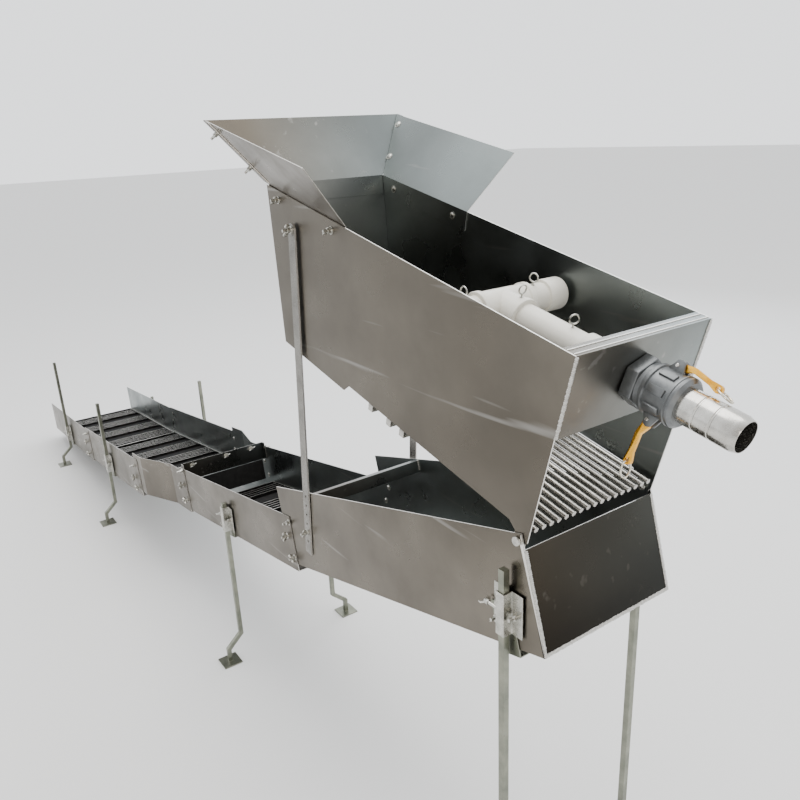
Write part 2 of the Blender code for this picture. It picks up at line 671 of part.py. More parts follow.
# The origin stands midway between the lowest tray's end and the open end of the shank
tray_end = corners["lower"] + fallen(TRAY_LENGTH, LAST_FALL)
x_low = tray_end.x - math.sin(LAST_FALL) * TRAY_SIDE
line_end = front_lean + coupler_start + shank_end
x_high = (hopper_low.x + line_end * math.cos(HOPPER_FALL)
          + (LINE_HEIGHT + SHANK_RADIUS - SHANK_NOSE_DROP) * math.sin(HOPPER_FALL))
root.location.x = -(x_low + x_high) / 2

# Ears on the coupler, each with its pin, and the cam levers with their pull rings
pin_height = COUPLER_RADIUS + EAR_PIN_PROUD
LEVER_REST = {"upper": 0.0, "lower": LEVER_OPEN}
EAR_SIGNS = {"upper": 1, "lower": -1}
lug_outline = ([(-0.014, -0.012), (0.016, -0.012)]
               + arc((0.003, 0.002), 0.0085, 0, 180, 6))
for ear, sign in EAR_SIGNS.items():
    turn = (0, 0, 0) if sign > 0 else (math.pi, 0, 0)
    for flank in (-1, 1):
        across = flank * (EAR_GAP + EAR_THICKNESS) / 2
        lug = outline_mesh("lug", [lug_outline], EAR_THICKNESS, "xz")
        lug_place = (EAR_PLACE, across, sign * pin_height)
        join(coupler, add("lug_" + ear, lug, coupler_frame, None, lug_place, turn))
    reach = EAR_GAP / 2 + EAR_THICKNESS
    pin = rod_mesh("lever_pin", (0, -reach, 0), (0, reach, 0), LEVER_PIN_RADIUS, 12)
    join(coupler, add("lever_pin_" + ear, pin, coupler_frame, None, (EAR_PLACE, 0, sign * pin_height)))

lever_outline = (arc((0, 0), LEVER_EYE_RADIUS, 90, 270, 8)
                 + [(0.010, -0.0060), (0.024, 0.0), (0.052, -0.0050)]
                 + arc((LEVER_LENGTH, LEVER_CRANK), LEVER_EYE_RADIUS, -125, 75, 7)
                 + [(0.050, 0.0030), (0.024, 0.0082), (0.012, 0.0066)])
for ear, sign in EAR_SIGNS.items():
    turn = (0, -LEVER_REST[ear], 0) if sign > 0 else (math.pi, LEVER_REST[ear], 0)
    hinge = frame(ear + "_lever_hinge", coupler_frame, (EAR_PLACE, 0, sign * pin_height), turn)
    loops = [lever_outline, circle((0, 0), LEVER_PIN_RADIUS + GAP),
             circle((LEVER_LENGTH, LEVER_CRANK), RING_EYE_RADIUS, 10)]
    add(ear + "_lever", outline_mesh(ear + "_lever", loops, LEVER_THICKNESS, "xz"), hinge, YELLOW_ZINC)
    hang = frame(ear + "_ring_hinge", hinge, (LEVER_LENGTH, 0, LEVER_CRANK), (0, RING_HANG, 0))
    ring = bpy.data.curves.new(ear + "_pull_ring", "CURVE")
    ring.dimensions = "3D"
    ring.bevel_depth = RING_WIRE
    ring.bevel_resolution = 2
    points = circle((RING_RADIUS, 0), RING_RADIUS, 24)
    spline = ring.splines.new("POLY")
    spline.points.add(len(points) - 1)
    for point, (along, across) in zip(spline.points, points):
        point.co = (along, across, 0, 1)
    spline.use_cyclic_u = True
    add(ear + "_pull_ring", ring, hang, YELLOW_ZINC)

# Straps that set the hopper's tilt
strap_face = header_width / 2 + HEADER_SIDE_GAP + GAP
for side, sign in SIDES.items():
    top_local = Vector((-STRAP_BOLT_BACK, 0, HOPPER_DEPTH - STRAP_BOLT_DROP))
    top = Matrix.Rotation(HOPPER_FALL, 4, "Y") @ top_local + Vector((hopper_low.x, 0, hopper_low.y))
    foot_local = Vector((-STRAP_FOOT_PLACE, 0, STRAP_FOOT_HEIGHT))
    foot = (Matrix.Rotation(-HEADER_FALL, 4, "Y") @ foot_local
            + Vector((corners["header"].x, 0, corners["header"].y)))
    reach = foot - top
    lean = math.atan2(reach.x, -reach.z)
    hinge = frame(side + "_strap_hinge", root, (top.x, sign * (strap_face + STRAP_THICKNESS / 2), top.z),
                  (0, -lean, 0))
    half = STRAP_WIDTH / 2
    tail = -(reach.length + STRAP_TAIL)
    strap_outline = arc((0, 0), half, 0, 180, 8) + [(-half, tail), (half, tail)]
    holes = [circle((0, 0), STRAP_HOLE_RADIUS)]
    holes += [circle((0, -reach.length + STRAP_HOLE_PITCH * step), STRAP_HOLE_RADIUS, 8)
              for step in range(-1, STRAP_HOLES - 1)]
    add("strap_" + side, outline_mesh("strap_" + side, [strap_outline] + holes, STRAP_THICKNESS, "xz"),
        hinge, BAR_METAL)


# Cradles, clamp brackets, wing screws and legs, a pair of each at four places along the chain
def ribbon(points, width):
    """The outline of a bent bar that follows a centre line of (across, height) points."""
    left, right = [], []
    for index, point in enumerate(points):
        before = points[max(index - 1, 0)]
        after = points[min(index + 1, len(points) - 1)]
        arms = [Vector(b) - Vector(a) for a, b in ((before, point), (point, after)) if a != b]
        normals = [Vector((-arm.y, arm.x)).normalized() for arm in arms]
        mitre = sum(normals, Vector((0, 0))).normalized()
        offset = mitre * (width / 2) / mitre.dot(normals[0])
        left.append(tuple(Vector(point) + offset))
        right.append(tuple(Vector(point) - offset))
    return left + right[::-1]


def make_cradle(name, tray, place, drop):
    """A U-shaped strap under a tray, square to its floor."""
    inside = WIDTHS[tray] / 2 + GAP
    outside = inside + CRADLE_SHEET
    low = -drop
    outline = [(-outside, CRADLE_HEIGHT), (-outside, low), (outside, low), (outside, CRADLE_HEIGHT),
               (inside, CRADLE_HEIGHT), (inside, low + CRADLE_SHEET), (-inside, low + CRADLE_SHEET),
               (-inside, CRADLE_HEIGHT)]
    add(name, outline_mesh(name, [outline], CRADLE_WIDTH, "yz"), trays[tray], ZINC, (-place, 0, 0))
    return outside


def make_clamp(label, side, face, centre, leg_across):
    """A hat-section bracket round the leg, plumb, and the wing screw that holds the leg."""
    sign = SIDES[side]
    pocket = LEG_SIZE / 2 + LEG_CLEARANCE
    depth = leg_across - face + pocket
    wing = pocket + BRACKET_SHEET + BRACKET_FLANGE
    wall = pocket + BRACKET_SHEET
    start = face + GAP
    outline = [(-wing, start), (-wing, start + BRACKET_SHEET), (-wall, start + BRACKET_SHEET),
               (-wall, face + depth + BRACKET_SHEET), (wall, face + depth + BRACKET_SHEET),
               (wall, start + BRACKET_SHEET), (wing, start + BRACKET_SHEET), (wing, start),
               (pocket, start), (pocket, face + depth), (-pocket, face + depth), (-pocket, start)]
    outline = [(x, sign * y) for x, y in outline]
    at = frame(label + "_clamp_" + side, root, (centre.x, 0, centre.y))
    name = label + "_bracket_" + side
    bracket = add(name, outline_mesh(name, [outline], BRACKET_HEIGHT, "xy"), at, ZINC)
    axis = frame(label + "_screw_axis_" + side, at, (0, sign * leg_across, 0))
    drill = rod_mesh("screw_drill", (-wall - 0.003, 0, 0), (-pocket + 0.001, 0, 0), SCREW_RADIUS + GAP, 12)
    cut(bracket, add("drill_" + label + "_" + side, drill, axis, None))
    tip = -LEG_SIZE / 2 - GAP
    back = tip - SCREW_REACH
    screw = add(label + "_wing_screw_" + side,
                rod_mesh("wing_screw", (back, 0, 0), (tip, 0, 0), SCREW_RADIUS, 10), axis, ZINC)
    knob = rod_mesh("screw_knob", (back - 0.001, 0, 0), (back + KNOB_LENGTH, 0, 0), KNOB_RADIUS, 10)
    blade = [(0.001, 0.005), (-0.003, 0.0112), (-0.009, 0.0106), (-0.005, 0.004)]
    blades = [(0.003, 0)] + blade + [(-0.004, 0)] + [(x, -y) for x, y in blade[::-1]]
    ears = outline_mesh("screw_wings", [blades], 0.0026, "xy")
    join(screw, add("knob_" + label + "_" + side, knob, axis, None),
         add("wings_" + label + "_" + side, ears, axis, None, (back + 0.002, 0, 0)))


def make_leg(label, side, centre, leg_across, top):
    """A square bar, bent outward near the ground onto a welded foot plate."""
    sign = SIDES[side]
    slide = frame(label + "_leg_slide_" + side, root, (centre.x, sign * leg_across, 0))
    bend = [(0, top), (0, BEND_HEIGHT), (sign * BEND_REACH, STUB_HEIGHT),
            (sign * BEND_REACH, FOOT_THICKNESS / 2)]
    name = label + "_leg_" + side
    leg = add(name, outline_mesh(name, [ribbon(bend, LEG_SIZE)], LEG_SIZE, "yz"), slide, ZINC)
    half = FOOT_SIZE / 2
    middle = sign * BEND_REACH
    foot = box_mesh("foot_plate", (-half, middle - half, 0), (half, middle + half, FOOT_THICKNESS))
    join(leg, add("foot_" + label + "_" + side, foot, slide, None))


STATIONS = (("header", "header", HEADER_BRACKET_PLACE, HEADER_BRACKET_RISE, HEADER_CRADLE_DROP),
            ("mid", "mid", TRAY_BRACKET_PLACE, TRAY_BRACKET_RISE, TRAY_CRADLE_DROP),
            ("upper", "upper", TRAY_BRACKET_PLACE, TRAY_BRACKET_RISE, TRAY_CRADLE_DROP),
            ("lower", "lower", TRAY_BRACKET_PLACE, TRAY_BRACKET_RISE, TRAY_CRADLE_DROP))
tray_leg_top = (corners["mid"] + fallen(TRAY_BRACKET_PLACE, MID_FALL)).y + TRAY_BRACKET_RISE + TRAY_LEG_PROUD
for label, tray, place, rise, drop in STATIONS:
    face = make_cradle(label + "_cradle", tray, place, drop)
    centre = corners[tray] + fallen(place, FALLS[tray]) + Vector((0, rise))
    leg_across = WIDTHS[tray] / 2 + LEG_SETOFF + LEG_SIZE / 2
    for side in SIDES:
        make_clamp(label, side, face, centre, leg_across)
        top = centre.y + HEADER_LEG_PROUD if label == "header" else tray_leg_top
        if label == "lower" and side == "far":
            top = centre.y + SHORT_LEG_PROUD
        make_leg(label, side, centre, leg_across, top)

# Mats and lift-out riffle racks on the tray floors
mat_top = TRAY_SHEET + GAP + MAT_THICKNESS
damper_place = TRAY_LENGTH - DAMPER_FROM_END
MAT_ENDS = {"mid": damper_place - MAT_DAMPER_GAP, "upper": TRAY_LENGTH - MAT_END_GAP,
            "lower": TRAY_LENGTH - MAT_END_GAP}
for tray, last in MAT_ENDS.items():
    first = JOINTS[tray][0] + MAT_START_GAP
    half = WIDTHS[tray] / 2 - TRAY_SHEET - MAT_SIDE_GAP
    add(tray + "_mat", box_mesh(tray + "_mat", (-last, -half, TRAY_SHEET + GAP), (-first, half, mat_top)),
        trays[tray], RUBBER)
    half -= MAT_SIDE_GAP
    start, end = first + MAT_MARGIN, last - MAT_MARGIN
    groups = int((end - start - RACK_END_BAY) / GROUP_PITCH)
    slats = [start + RACK_FIRST_BAY + GROUP_PITCH * group + RIFFLE_PITCH * step
             for group in range(groups + 1) for step in range(RIFFLES_IN_GROUP)]
    slats = [slat for slat in slats if slat < end - RACK_END_BAY]
    walls = [start] + slats + [end - RIFFLE_BAR]
    windows = [[(-b, -half + RIFFLE_BAR), (-a - RIFFLE_BAR, -half + RIFFLE_BAR),
                (-a - RIFFLE_BAR, half - RIFFLE_BAR), (-b, half - RIFFLE_BAR)]
               for a, b in zip(walls, walls[1:])]
    rim = [(-end, -half), (-start, -half), (-start, half), (-end, half)]
    name = tray + "_riffle_rack"
    add(name, outline_mesh(name, [rim] + windows, RIFFLE_HEIGHT, "xy"), trays[tray], ALUMINIUM,
        (0, 0, mat_top + GAP + RIFFLE_HEIGHT / 2))

# Damper: a cross plate at the foot of the middle tray with a rubber flap below it
half = WIDTHS["mid"] / 2 - TRAY_SHEET - GAP
damper_outline = [(0, -half), (0, half), (DAMPER_FLANGE, half), (DAMPER_FLANGE, half - TRAY_SHEET),
                  (TRAY_SHEET, half - TRAY_SHEET), (TRAY_SHEET, -half + TRAY_SHEET),
                  (DAMPER_FLANGE, -half + TRAY_SHEET), (DAMPER_FLANGE, -half)]
damper_top = TRAY_SIDE + DAMPER_PROUD
add("damper_plate", outline_mesh("damper_plate", [damper_outline], DAMPER_HEIGHT, "xy"), trays["mid"],
    ALUMINIUM, (-damper_place, 0, damper_top - DAMPER_HEIGHT / 2))
flap_half = half - FLAP_SIDE_GAP
flap_height = damper_top - DAMPER_HEIGHT - FLAP_HINGE_GAP
flap_hinge = frame("flap_hinge", trays["mid"], (-damper_place, 0, flap_height))
add("damper_flap", box_mesh("damper_flap", (0, -flap_half, FLAP_ABOVE_FLOOR - flap_height),
                            (FLAP_THICKNESS, flap_half, 0)), flap_hinge, RUBBER)
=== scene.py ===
"""Finished look of a highbanker sluice box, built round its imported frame. Metres, +Z up,
+X upstream towards the hose, -Y the near side."""

import json
import math

import bmesh
import bpy
from mathutils import Matrix, Vector
from mathutils.bvhtree import BVHTree

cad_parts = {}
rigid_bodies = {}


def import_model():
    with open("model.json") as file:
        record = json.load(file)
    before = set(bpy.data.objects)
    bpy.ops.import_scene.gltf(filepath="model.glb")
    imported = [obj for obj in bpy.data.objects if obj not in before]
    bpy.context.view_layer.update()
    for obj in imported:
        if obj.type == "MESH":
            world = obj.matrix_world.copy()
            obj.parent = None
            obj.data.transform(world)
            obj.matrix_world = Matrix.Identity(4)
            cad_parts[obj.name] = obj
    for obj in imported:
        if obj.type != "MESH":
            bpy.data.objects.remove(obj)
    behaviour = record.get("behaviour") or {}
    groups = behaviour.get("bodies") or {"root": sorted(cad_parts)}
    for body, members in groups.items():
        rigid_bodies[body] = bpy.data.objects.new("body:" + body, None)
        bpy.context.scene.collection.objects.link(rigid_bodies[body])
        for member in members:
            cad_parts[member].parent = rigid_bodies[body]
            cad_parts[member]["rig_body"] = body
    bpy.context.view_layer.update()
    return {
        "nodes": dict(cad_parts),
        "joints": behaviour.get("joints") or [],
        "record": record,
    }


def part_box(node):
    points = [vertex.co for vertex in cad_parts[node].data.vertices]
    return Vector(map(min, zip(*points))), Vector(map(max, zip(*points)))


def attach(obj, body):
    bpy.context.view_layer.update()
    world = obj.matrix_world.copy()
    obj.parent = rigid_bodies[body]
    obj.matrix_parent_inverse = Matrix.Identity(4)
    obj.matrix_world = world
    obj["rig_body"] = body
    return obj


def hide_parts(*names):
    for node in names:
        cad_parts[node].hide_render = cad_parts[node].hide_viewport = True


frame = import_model()

# Studio: a pale floor far wider than the object, three soft lamps, and a white surround that is
# dimmer beyond the hose end. The camera stands off that end and looks down along the trays.
scene = bpy.context.scene
joints = {joint["name"]: joint for joint in frame["joints"]}
pivot = Vector(joints["hopper_tilt"]["pos_m"])

CAMERA_FROM_PIVOT = Vector((0.7641, -0.8798, 0.6091))
CAMERA_HEADING = math.radians(55.89)
CAMERA_DOWN = math.radians(19.48)
CAMERA_ROLL = math.radians(-2.71)
CAMERA_LENS = 34.2
CAMERA_REACH = 200.0
FLOOR_WIDTH = 80.0
FLOOR_COLOUR = (0.76, 0.757, 0.75, 1.0)
SKY_COLOUR = (0.96, 0.98, 1.0)
DARK_COLOUR = (0.42, 0.41, 0.40)
DARK_TOWARDS = (0.80, -0.58, 0.12)
DARK_EDGE = (0.25, 0.80)
SKY_STRENGTH = 1.9


def put(tree, kind, inputs=(), **settings):
    """A node with its settings, each input given as a value or as another node's output."""
    made = tree.nodes.new(kind)
    for key, value in settings.items():
        setattr(made, key, value)
    for key, value in dict(inputs).items():
        if isinstance(value, bpy.types.NodeSocket):
            tree.links.new(value, made.inputs[key])
        else:
            made.inputs[key].default_value = value
    return made


camera = bpy.data.objects.new("camera", bpy.data.cameras.new("camera"))
camera.data.lens = CAMERA_LENS
camera.data.clip_end = CAMERA_REACH
camera.matrix_world = (Matrix.Translation(pivot + CAMERA_FROM_PIVOT)
                       @ Matrix.Rotation(CAMERA_HEADING, 4, "Z")
                       @ Matrix.Rotation(math.pi / 2 - CAMERA_DOWN, 4, "X")
                       @ Matrix.Rotation(CAMERA_ROLL, 4, "Z"))
scene.collection.objects.link(camera)
scene.camera = camera

floor_shape = bmesh.new()
bmesh.ops.create_grid(floor_shape, x_segments=1, y_segments=1, size=FLOOR_WIDTH / 2)
floor_mesh = bpy.data.meshes.new("floor")
floor_shape.to_mesh(floor_mesh)
floor_shape.free()
floor = bpy.data.objects.new("floor", floor_mesh)
scene.collection.objects.link(floor)
floor_paint = bpy.data.materials.new("pale_floor")
floor_paint.use_nodes = True
floor_shader = floor_paint.node_tree.nodes["Principled BSDF"]
floor_shader.inputs["Base Color"].default_value = FLOOR_COLOUR
floor_shader.inputs["Roughness"].default_value = 0.9
floor_shader.inputs["Specular IOR Level"].default_value = 0.1
floor.data.materials.append(floor_paint)

world = bpy.data.worlds.new("surround")
world.use_nodes = True
surround = world.node_tree
sky = surround.nodes["Background"]
ways = put(surround, "ShaderNodeTexCoord").outputs["Generated"]
towards = put(surround, "ShaderNodeVectorMath", {0: ways, 1: DARK_TOWARDS}, operation="DOT_PRODUCT")
shade = put(surround, "ShaderNodeMapRange", {"Value": towards.outputs["Value"],
                                             "From Min": DARK_EDGE[0], "From Max": DARK_EDGE[1]})
tint = put(surround, "ShaderNodeMix", {"Factor": shade.outputs["Result"], 6: (*SKY_COLOUR, 1.0),
                                       7: (*DARK_COLOUR, 1.0)}, data_type="RGBA")
surround.links.new(tint.outputs[2], sky.inputs["Color"])
sky.inputs["Strength"].default_value = SKY_STRENGTH
scene.world = world


def lamp(name, place, target, size, power, colour):
    """A square soft lamp aimed at a point."""
    light = bpy.data.lights.new(name, "AREA")
    light.size = size
    light.energy = power
    light.color = colour
    holder = bpy.data.objects.new(name, light)
    holder.location = place
    holder.rotation_euler = (Vector(target) - Vector(place)).to_track_quat("-Z", "Y").to_euler()
    scene.collection.objects.link(holder)


lamp("overhead_lamp", (0.5, 0.5, 5.0), (0.3, 0, 0.6), 3.5, 170, (1.0, 0.98, 0.95))
lamp("far_side_lamp", (-1.5, 4.5, 3.0), (0.3, 0, 0.7), 2.5, 90, (0.85, 0.92, 1.0))
lamp("hose_end_lamp", (5.0, -2.5, 2.6), (1.4, 0, 1.0), 2.0, 60, (1.0, 0.93, 0.84))

# Sheet aluminium: the hopper's plates, wings, trays and damper are sheared and folded from mill
# finish sheet. Faces are dull and faintly streaked along the roll, and the sheared edges bright.
SHEET_GREY = (0.100, 0.092, 0.080)
SHEET_LIGHT = (0.185, 0.174, 0.155)
# Painted light by side: the near side's sheet is tinted warm and a little darker, the far side's cooler and
# much lighter.
FAR_SIDE_PAINTED_LIGHT = (1.50, 1.78, 1.98)
NEAR_SIDE_PAINTED_TINT = (1.00, 0.94, 0.86)
SHEET_PATCH = (0.07, 0.067, 0.061)
SHEET_SCUFF = (0.36, 0.35, 0.33)
# Painted shade on the header's end plate: the plate is darkened all over, most at its foot.
END_SHADE_FOOT = (0.13, 0.12, 0.11)
END_SHADE_TOP = (0.42, 0.39, 0.35)
END_SHADE_HEIGHTS = (0.82, 1.02)
SIDE_LIGHT_REACH = 0.16
RELIEF = 0.6
SHEET_EASE = 0.0004


def paint(name, metallic=1.0):
    """A new material with its tree, its shader and the place on the piece."""
    material = bpy.data.materials.new(name)
    material.use_nodes = True
    tree = material.node_tree
    shader = tree.nodes["Principled BSDF"]
    shader.inputs["Metallic"].default_value = metallic
    return material, tree, shader, put(tree, "ShaderNodeTexCoord").outputs["Object"]


def noise(tree, place, scale, stretch=(1, 1, 1), turn=(0, 0, 0), detail=4.0):
    """Noise over the piece, stretched along one way of it."""
    turned = put(tree, "ShaderNodeMapping", {"Vector": place, "Rotation": turn, "Scale": stretch})
    made = put(tree, "ShaderNodeTexNoise", {"Vector": turned.outputs["Vector"], "Scale": scale,
                                            "Detail": detail, "Roughness": 0.55})
    return made.outputs["Fac"]


def spread(tree, value, low, high, start=0.3, end=0.7):
    """A value stretched from one range to another."""
    return put(tree, "ShaderNodeMapRange", {"Value": value, "From Min": start, "From Max": end,
                                            "To Min": low, "To Max": high}).outputs["Result"]


def between(tree, amount, first, second, way="MIX"):
    """Two colours mixed by a value."""
    mix = put(tree, "ShaderNodeMix", data_type="RGBA", blend_type=way)
    for socket, value in ((mix.inputs["Factor"], amount), (mix.inputs[6], first), (mix.inputs[7], second)):
        if isinstance(value, bpy.types.NodeSocket):
            tree.links.new(value, socket)
        else:
            socket.default_value = (*value, 1.0) if isinstance(value, tuple) else value
    return mix.outputs[2]


def bumps(tree, shader, layers):
    """Surface relief from several heights, each with its depth in metres."""
    normal = None
    for height, depth in layers:
        step = put(tree, "ShaderNodeBump", {"Height": height, "Distance": depth, "Strength": RELIEF})
        if normal:
            tree.links.new(normal, step.inputs["Normal"])
        normal = step.outputs["Normal"]
    tree.links.new(normal, shader.inputs["Normal"])


def sheet_paint(name, fall, shade=1.0, end_plate=None):
    """Mill finish sheet that slopes by an angle, with painted light by side: warmer and a little darker on
    the near side, cooler and lighter on the far one. An end plate that starts at a place, if one is given,
    gets painted shade, darker towards the bottom."""
    material, tree, shader, place = paint(name)
    clouds = noise(tree, place, 2.2, (1.0, 1.3, 2.0), detail=1.0)
    patches = noise(tree, place, 9.0, detail=6.0)
    streaks = noise(tree, place, 60.0, (0.05, 1.0, 1.0), (0, fall, 0), 3.0)
    scuffs = noise(tree, place, 38.0, (0.06, 1.0, 1.0), (0.3, fall + 0.9, 0.4), 2.0)
    tones = between(tree, spread(tree, clouds, 0.0, 1.0), tuple(shade * c for c in SHEET_GREY),
                    tuple(shade * c for c in SHEET_LIGHT))
    tones = between(tree, spread(tree, patches, 0.0, 0.35), tones, SHEET_PATCH)
    across = put(tree, "ShaderNodeSeparateXYZ", {"Vector": place}).outputs["Y"]
    side = spread(tree, across, 0.0, 1.0, -SIDE_LIGHT_REACH, SIDE_LIGHT_REACH)
    # Painted light by side: the sheet is tinted warm towards the near side, and cool and lighter towards the
    # far side.
    tones = between(tree, 1.0, tones, between(tree, side, NEAR_SIDE_PAINTED_TINT, FAR_SIDE_PAINTED_LIGHT), "MULTIPLY")
    tones = between(tree, spread(tree, scuffs, 0.0, 0.5, 0.66, 0.74), tones, SHEET_SCUFF)
    # Painted shade: the end plate is darkened, darker towards the bottom.
    if end_plate:
        ahead = end_plate.to_3x3() @ Vector((1, 0, 0))
        past = put(tree, "ShaderNodeVectorMath", {0: place, 1: ahead}, operation="DOT_PRODUCT")
        face = end_plate.translation.dot(ahead)
        dark = spread(tree, past.outputs["Value"], 0.0, 1.0, face - 0.0035, face - 0.0030)
        height = put(tree, "ShaderNodeSeparateXYZ", {"Vector": place}).outputs["Z"]
        end_shade = between(tree, spread(tree, height, 0.0, 1.0, *END_SHADE_HEIGHTS), END_SHADE_FOOT, END_SHADE_TOP)
        tones = between(tree, dark, tones, between(tree, 1.0, tones, end_shade, "MULTIPLY"))
    tree.links.new(tones, shader.inputs["Base Color"])
    tree.links.new(spread(tree, patches, 0.24, 0.40), shader.inputs["Roughness"])
    bumps(tree, shader, ((clouds, 0.004), (streaks, 0.00004)))
    return material


def cut_paint():
    """Freshly sheared metal along the edge of a sheet."""
    material, tree, shader, place = paint("sheared_edge")
    marks = noise(tree, place, 420.0, (0.2, 1.0, 1.0))
    tones = between(tree, marks, (0.62, 0.60, 0.56), (0.92, 0.90, 0.86))
    tree.links.new(tones, shader.inputs["Base Color"])
    tree.links.new(spread(tree, marks, 0.30, 0.48), shader.inputs["Roughness"])
    return material


SHEARED = cut_paint()
SKIN_STEP = 0.00002
SKIN_SHARE = 1.4
WELD_DISTANCE = 0.00001
FLAT_ANGLE = math.radians(0.6)
CORNER_ANGLE = math.radians(28)


def finished(name, shape, body, slot, materials, stands_for=(), smooth=0.0):
    """Turns a bmesh into a finished piece that rides on a body and stands for its CAD nodes."""
    mesh = bpy.data.meshes.new(name)
    shape.to_mesh(mesh)
    shape.free()
    for material in materials:
        mesh.materials.append(material)
    if smooth:
        mesh.shade_smooth()
        mesh.set_sharp_from_angle(angle=math.radians(smooth))
    piece = bpy.data.objects.new(name, mesh)
    scene.collection.objects.link(piece)
    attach(piece, body)
    if stands_for:
        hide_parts(*stands_for)


def eased(node, name, ease, materials, sheet=0.0, smooth=0.0):
    """A CAD node's shape with its corners eased. On sheet metal the sheared edges get the second
    material: there the far side of the metal is further off than the sheet is thick."""
    source = frame["nodes"][node]
    shape = bmesh.new()
    shape.from_mesh(source.data)
    for face in shape.faces:
        face.material_index = 0
    if sheet:
        walls = BVHTree.FromBMesh(shape)
        for face in shape.faces:
            inward = -face.normal
            start = face.calc_center_median() + inward * SKIN_STEP
            across = walls.ray_cast(start, inward)[3]
            face.material_index = 0 if across is not None and across < SKIN_SHARE * sheet else 1
    bmesh.ops.remove_doubles(shape, verts=shape.verts, dist=WELD_DISTANCE)
    bmesh.ops.dissolve_limit(shape, angle_limit=FLAT_ANGLE, verts=shape.verts, edges=shape.edges,
                             delimit={"MATERIAL"})
    corners = [edge for edge in shape.edges
               if edge.is_manifold and edge.calc_face_angle() > CORNER_ANGLE]
    bmesh.ops.bevel(shape, geom=corners, offset=ease, segments=2, profile=0.5, affect="EDGES",
                    clamp_overlap=True)
    slots = {entry["node"]: entry["material_slot"] for entry in frame["record"]["subparts"]}
    finished(name, shape, source["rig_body"], slots[node], materials, (node,), smooth)


# Hopper shell: two side plates, a bent back and floor, and a front plate with a folded rim, all
# 3 mm sheet. The side plates are notched along the bottom where the grizzly hangs over the header.
HOPPER_FALL = math.radians(12.4)
HOPPER_SHEET = 0.003
PIVOT_BACK = 0.0158
PIVOT_DROP = 0.0029
HOPPER_DEPTH = 0.331
FRONT_LEAN = 0.0158
FRONT_SLOPE = FRONT_LEAN / HOPPER_DEPTH
hopper = (Matrix.Translation(pivot) @ Matrix.Rotation(HOPPER_FALL, 4, "Y")
          @ Matrix.Translation((PIVOT_BACK, 0, PIVOT_DROP)))
hopper_skin = sheet_paint("hopper_sheet", HOPPER_FALL)
for node, name in (("hopper_side_near", "near_side_plate"), ("hopper_side_far", "far_side_plate"),
                   ("hopper_back_floor", "back_and_floor_plate"), ("hopper_front", "front_plate")):
    eased(node, name, SHEET_EASE, (hopper_skin, SHEARED), HOPPER_SHEET)

# Wings: flared 2 mm sheets that widen the hopper's mouth. Their flanges are folded down inside
# the rim and bolted to the side plates, and the back wing's ends are bolted to the side wings.
WING_SHEET = 0.002
for node, name in (("wing_near", "near_wing_sheet"), ("wing_far", "far_wing_sheet"),
                   ("wing_back", "back_wing_sheet")):
    eased(node, name, SHEET_EASE, (hopper_skin, SHEARED), WING_SHEET)

# Header box: a channel folded from 3 mm sheet, with an end plate welded across its upper end. Its
# place starts at that plate's bottom edge, with X running up the floor and Z square to it.
HEADER_SIDE = 0.206
HEADER_SHEET = 0.003
HEADER_FALL = math.radians(15.9)
header_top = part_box("header_box")[1]
header_foot = Vector((header_top.x, 0, header_top.z - HEADER_SIDE * math.cos(HEADER_FALL)))
header = Matrix.Translation(header_foot) @ Matrix.Rotation(-HEADER_FALL, 4, "Y")
# The header's sheet carries painted shade on its end plate.
header_skin = sheet_paint("header_box_sheet", -HEADER_FALL, end_plate=header)
eased("header_box", "header_box_channel", SHEET_EASE, (header_skin, SHEARED), HEADER_SHEET)

# Trays: four open channels folded from 2 mm sheet, each fitted round the foot of the piece above
# and bolted to it. The second widens between two folds.
TRAY_SHEET = 0.002
TRAY_FALLS = {"mid_tray": math.radians(10.9), "flare_tray": math.radians(8.3),
              "upper_far_tray": math.radians(8.3), "lower_far_tray": math.radians(6.2)}
for node, fall in TRAY_FALLS.items():
    skin = sheet_paint(node + "_sheet", -fall)
    eased(node, node + "_channel", SHEET_EASE, (skin, SHEARED), TRAY_SHEET)

# Mats, damper and flap: black rubber sheet laid on the tray floors, and a cross plate of dark
# sheet at the foot of the middle tray with a rubber flap hung below it.
def plain_paint(name, colour, second, roughness, metallic, scale, depth):
    """A finish of two close tones in fine patches, with slight relief."""
    material, tree, shader, place = paint(name, metallic)
    patches = noise(tree, place, scale)
    fine = noise(tree, place, scale * 9)
    tones = between(tree, spread(tree, patches, 0.0, 1.0), colour, second)
    tree.links.new(tones, shader.inputs["Base Color"])
    tree.links.new(spread(tree, fine, roughness - 0.08, roughness + 0.10), shader.inputs["Roughness"])
    bumps(tree, shader, ((patches, depth), (fine, depth / 5)))
    return material


rubber = plain_paint("black_rubber_sheet", (0.006, 0.006, 0.006), (0.013, 0.0125, 0.012), 0.80, 0.0,
                     60.0, 0.0004)
rubber.node_tree.nodes["Principled BSDF"].inputs["Specular IOR Level"].default_value = 0.18
dark_sheet = sheet_paint("damper_sheet", 0.0, 0.45)
for node in ("mid_mat", "upper_mat", "lower_mat"):
    eased(node, node + "_sheet", 0.0008, (rubber,))
eased("damper_flap", "damper_rubber", 0.0006, (rubber,))
eased("damper_plate", "damper_cross_plate", SHEET_EASE, (dark_sheet, SHEARED), TRAY_SHEET)

# Riffle racks: lift-out ladders of upright sheet slats welded between two side rails. Gravel has
# worn their faces dark, and their top edges are bright.
RIFFLE_SHEET = 0.003
riffle_metal = plain_paint("worn_riffle_sheet", (0.030, 0.029, 0.028), (0.075, 0.072, 0.068), 0.34, 1.0,
                           45.0, 0.0002)
for node in ("mid_riffle_rack", "upper_riffle_rack", "lower_riffle_rack"):
    eased(node, node + "_ladder", 0.0003, (riffle_metal, SHEARED), RIFFLE_SHEET)

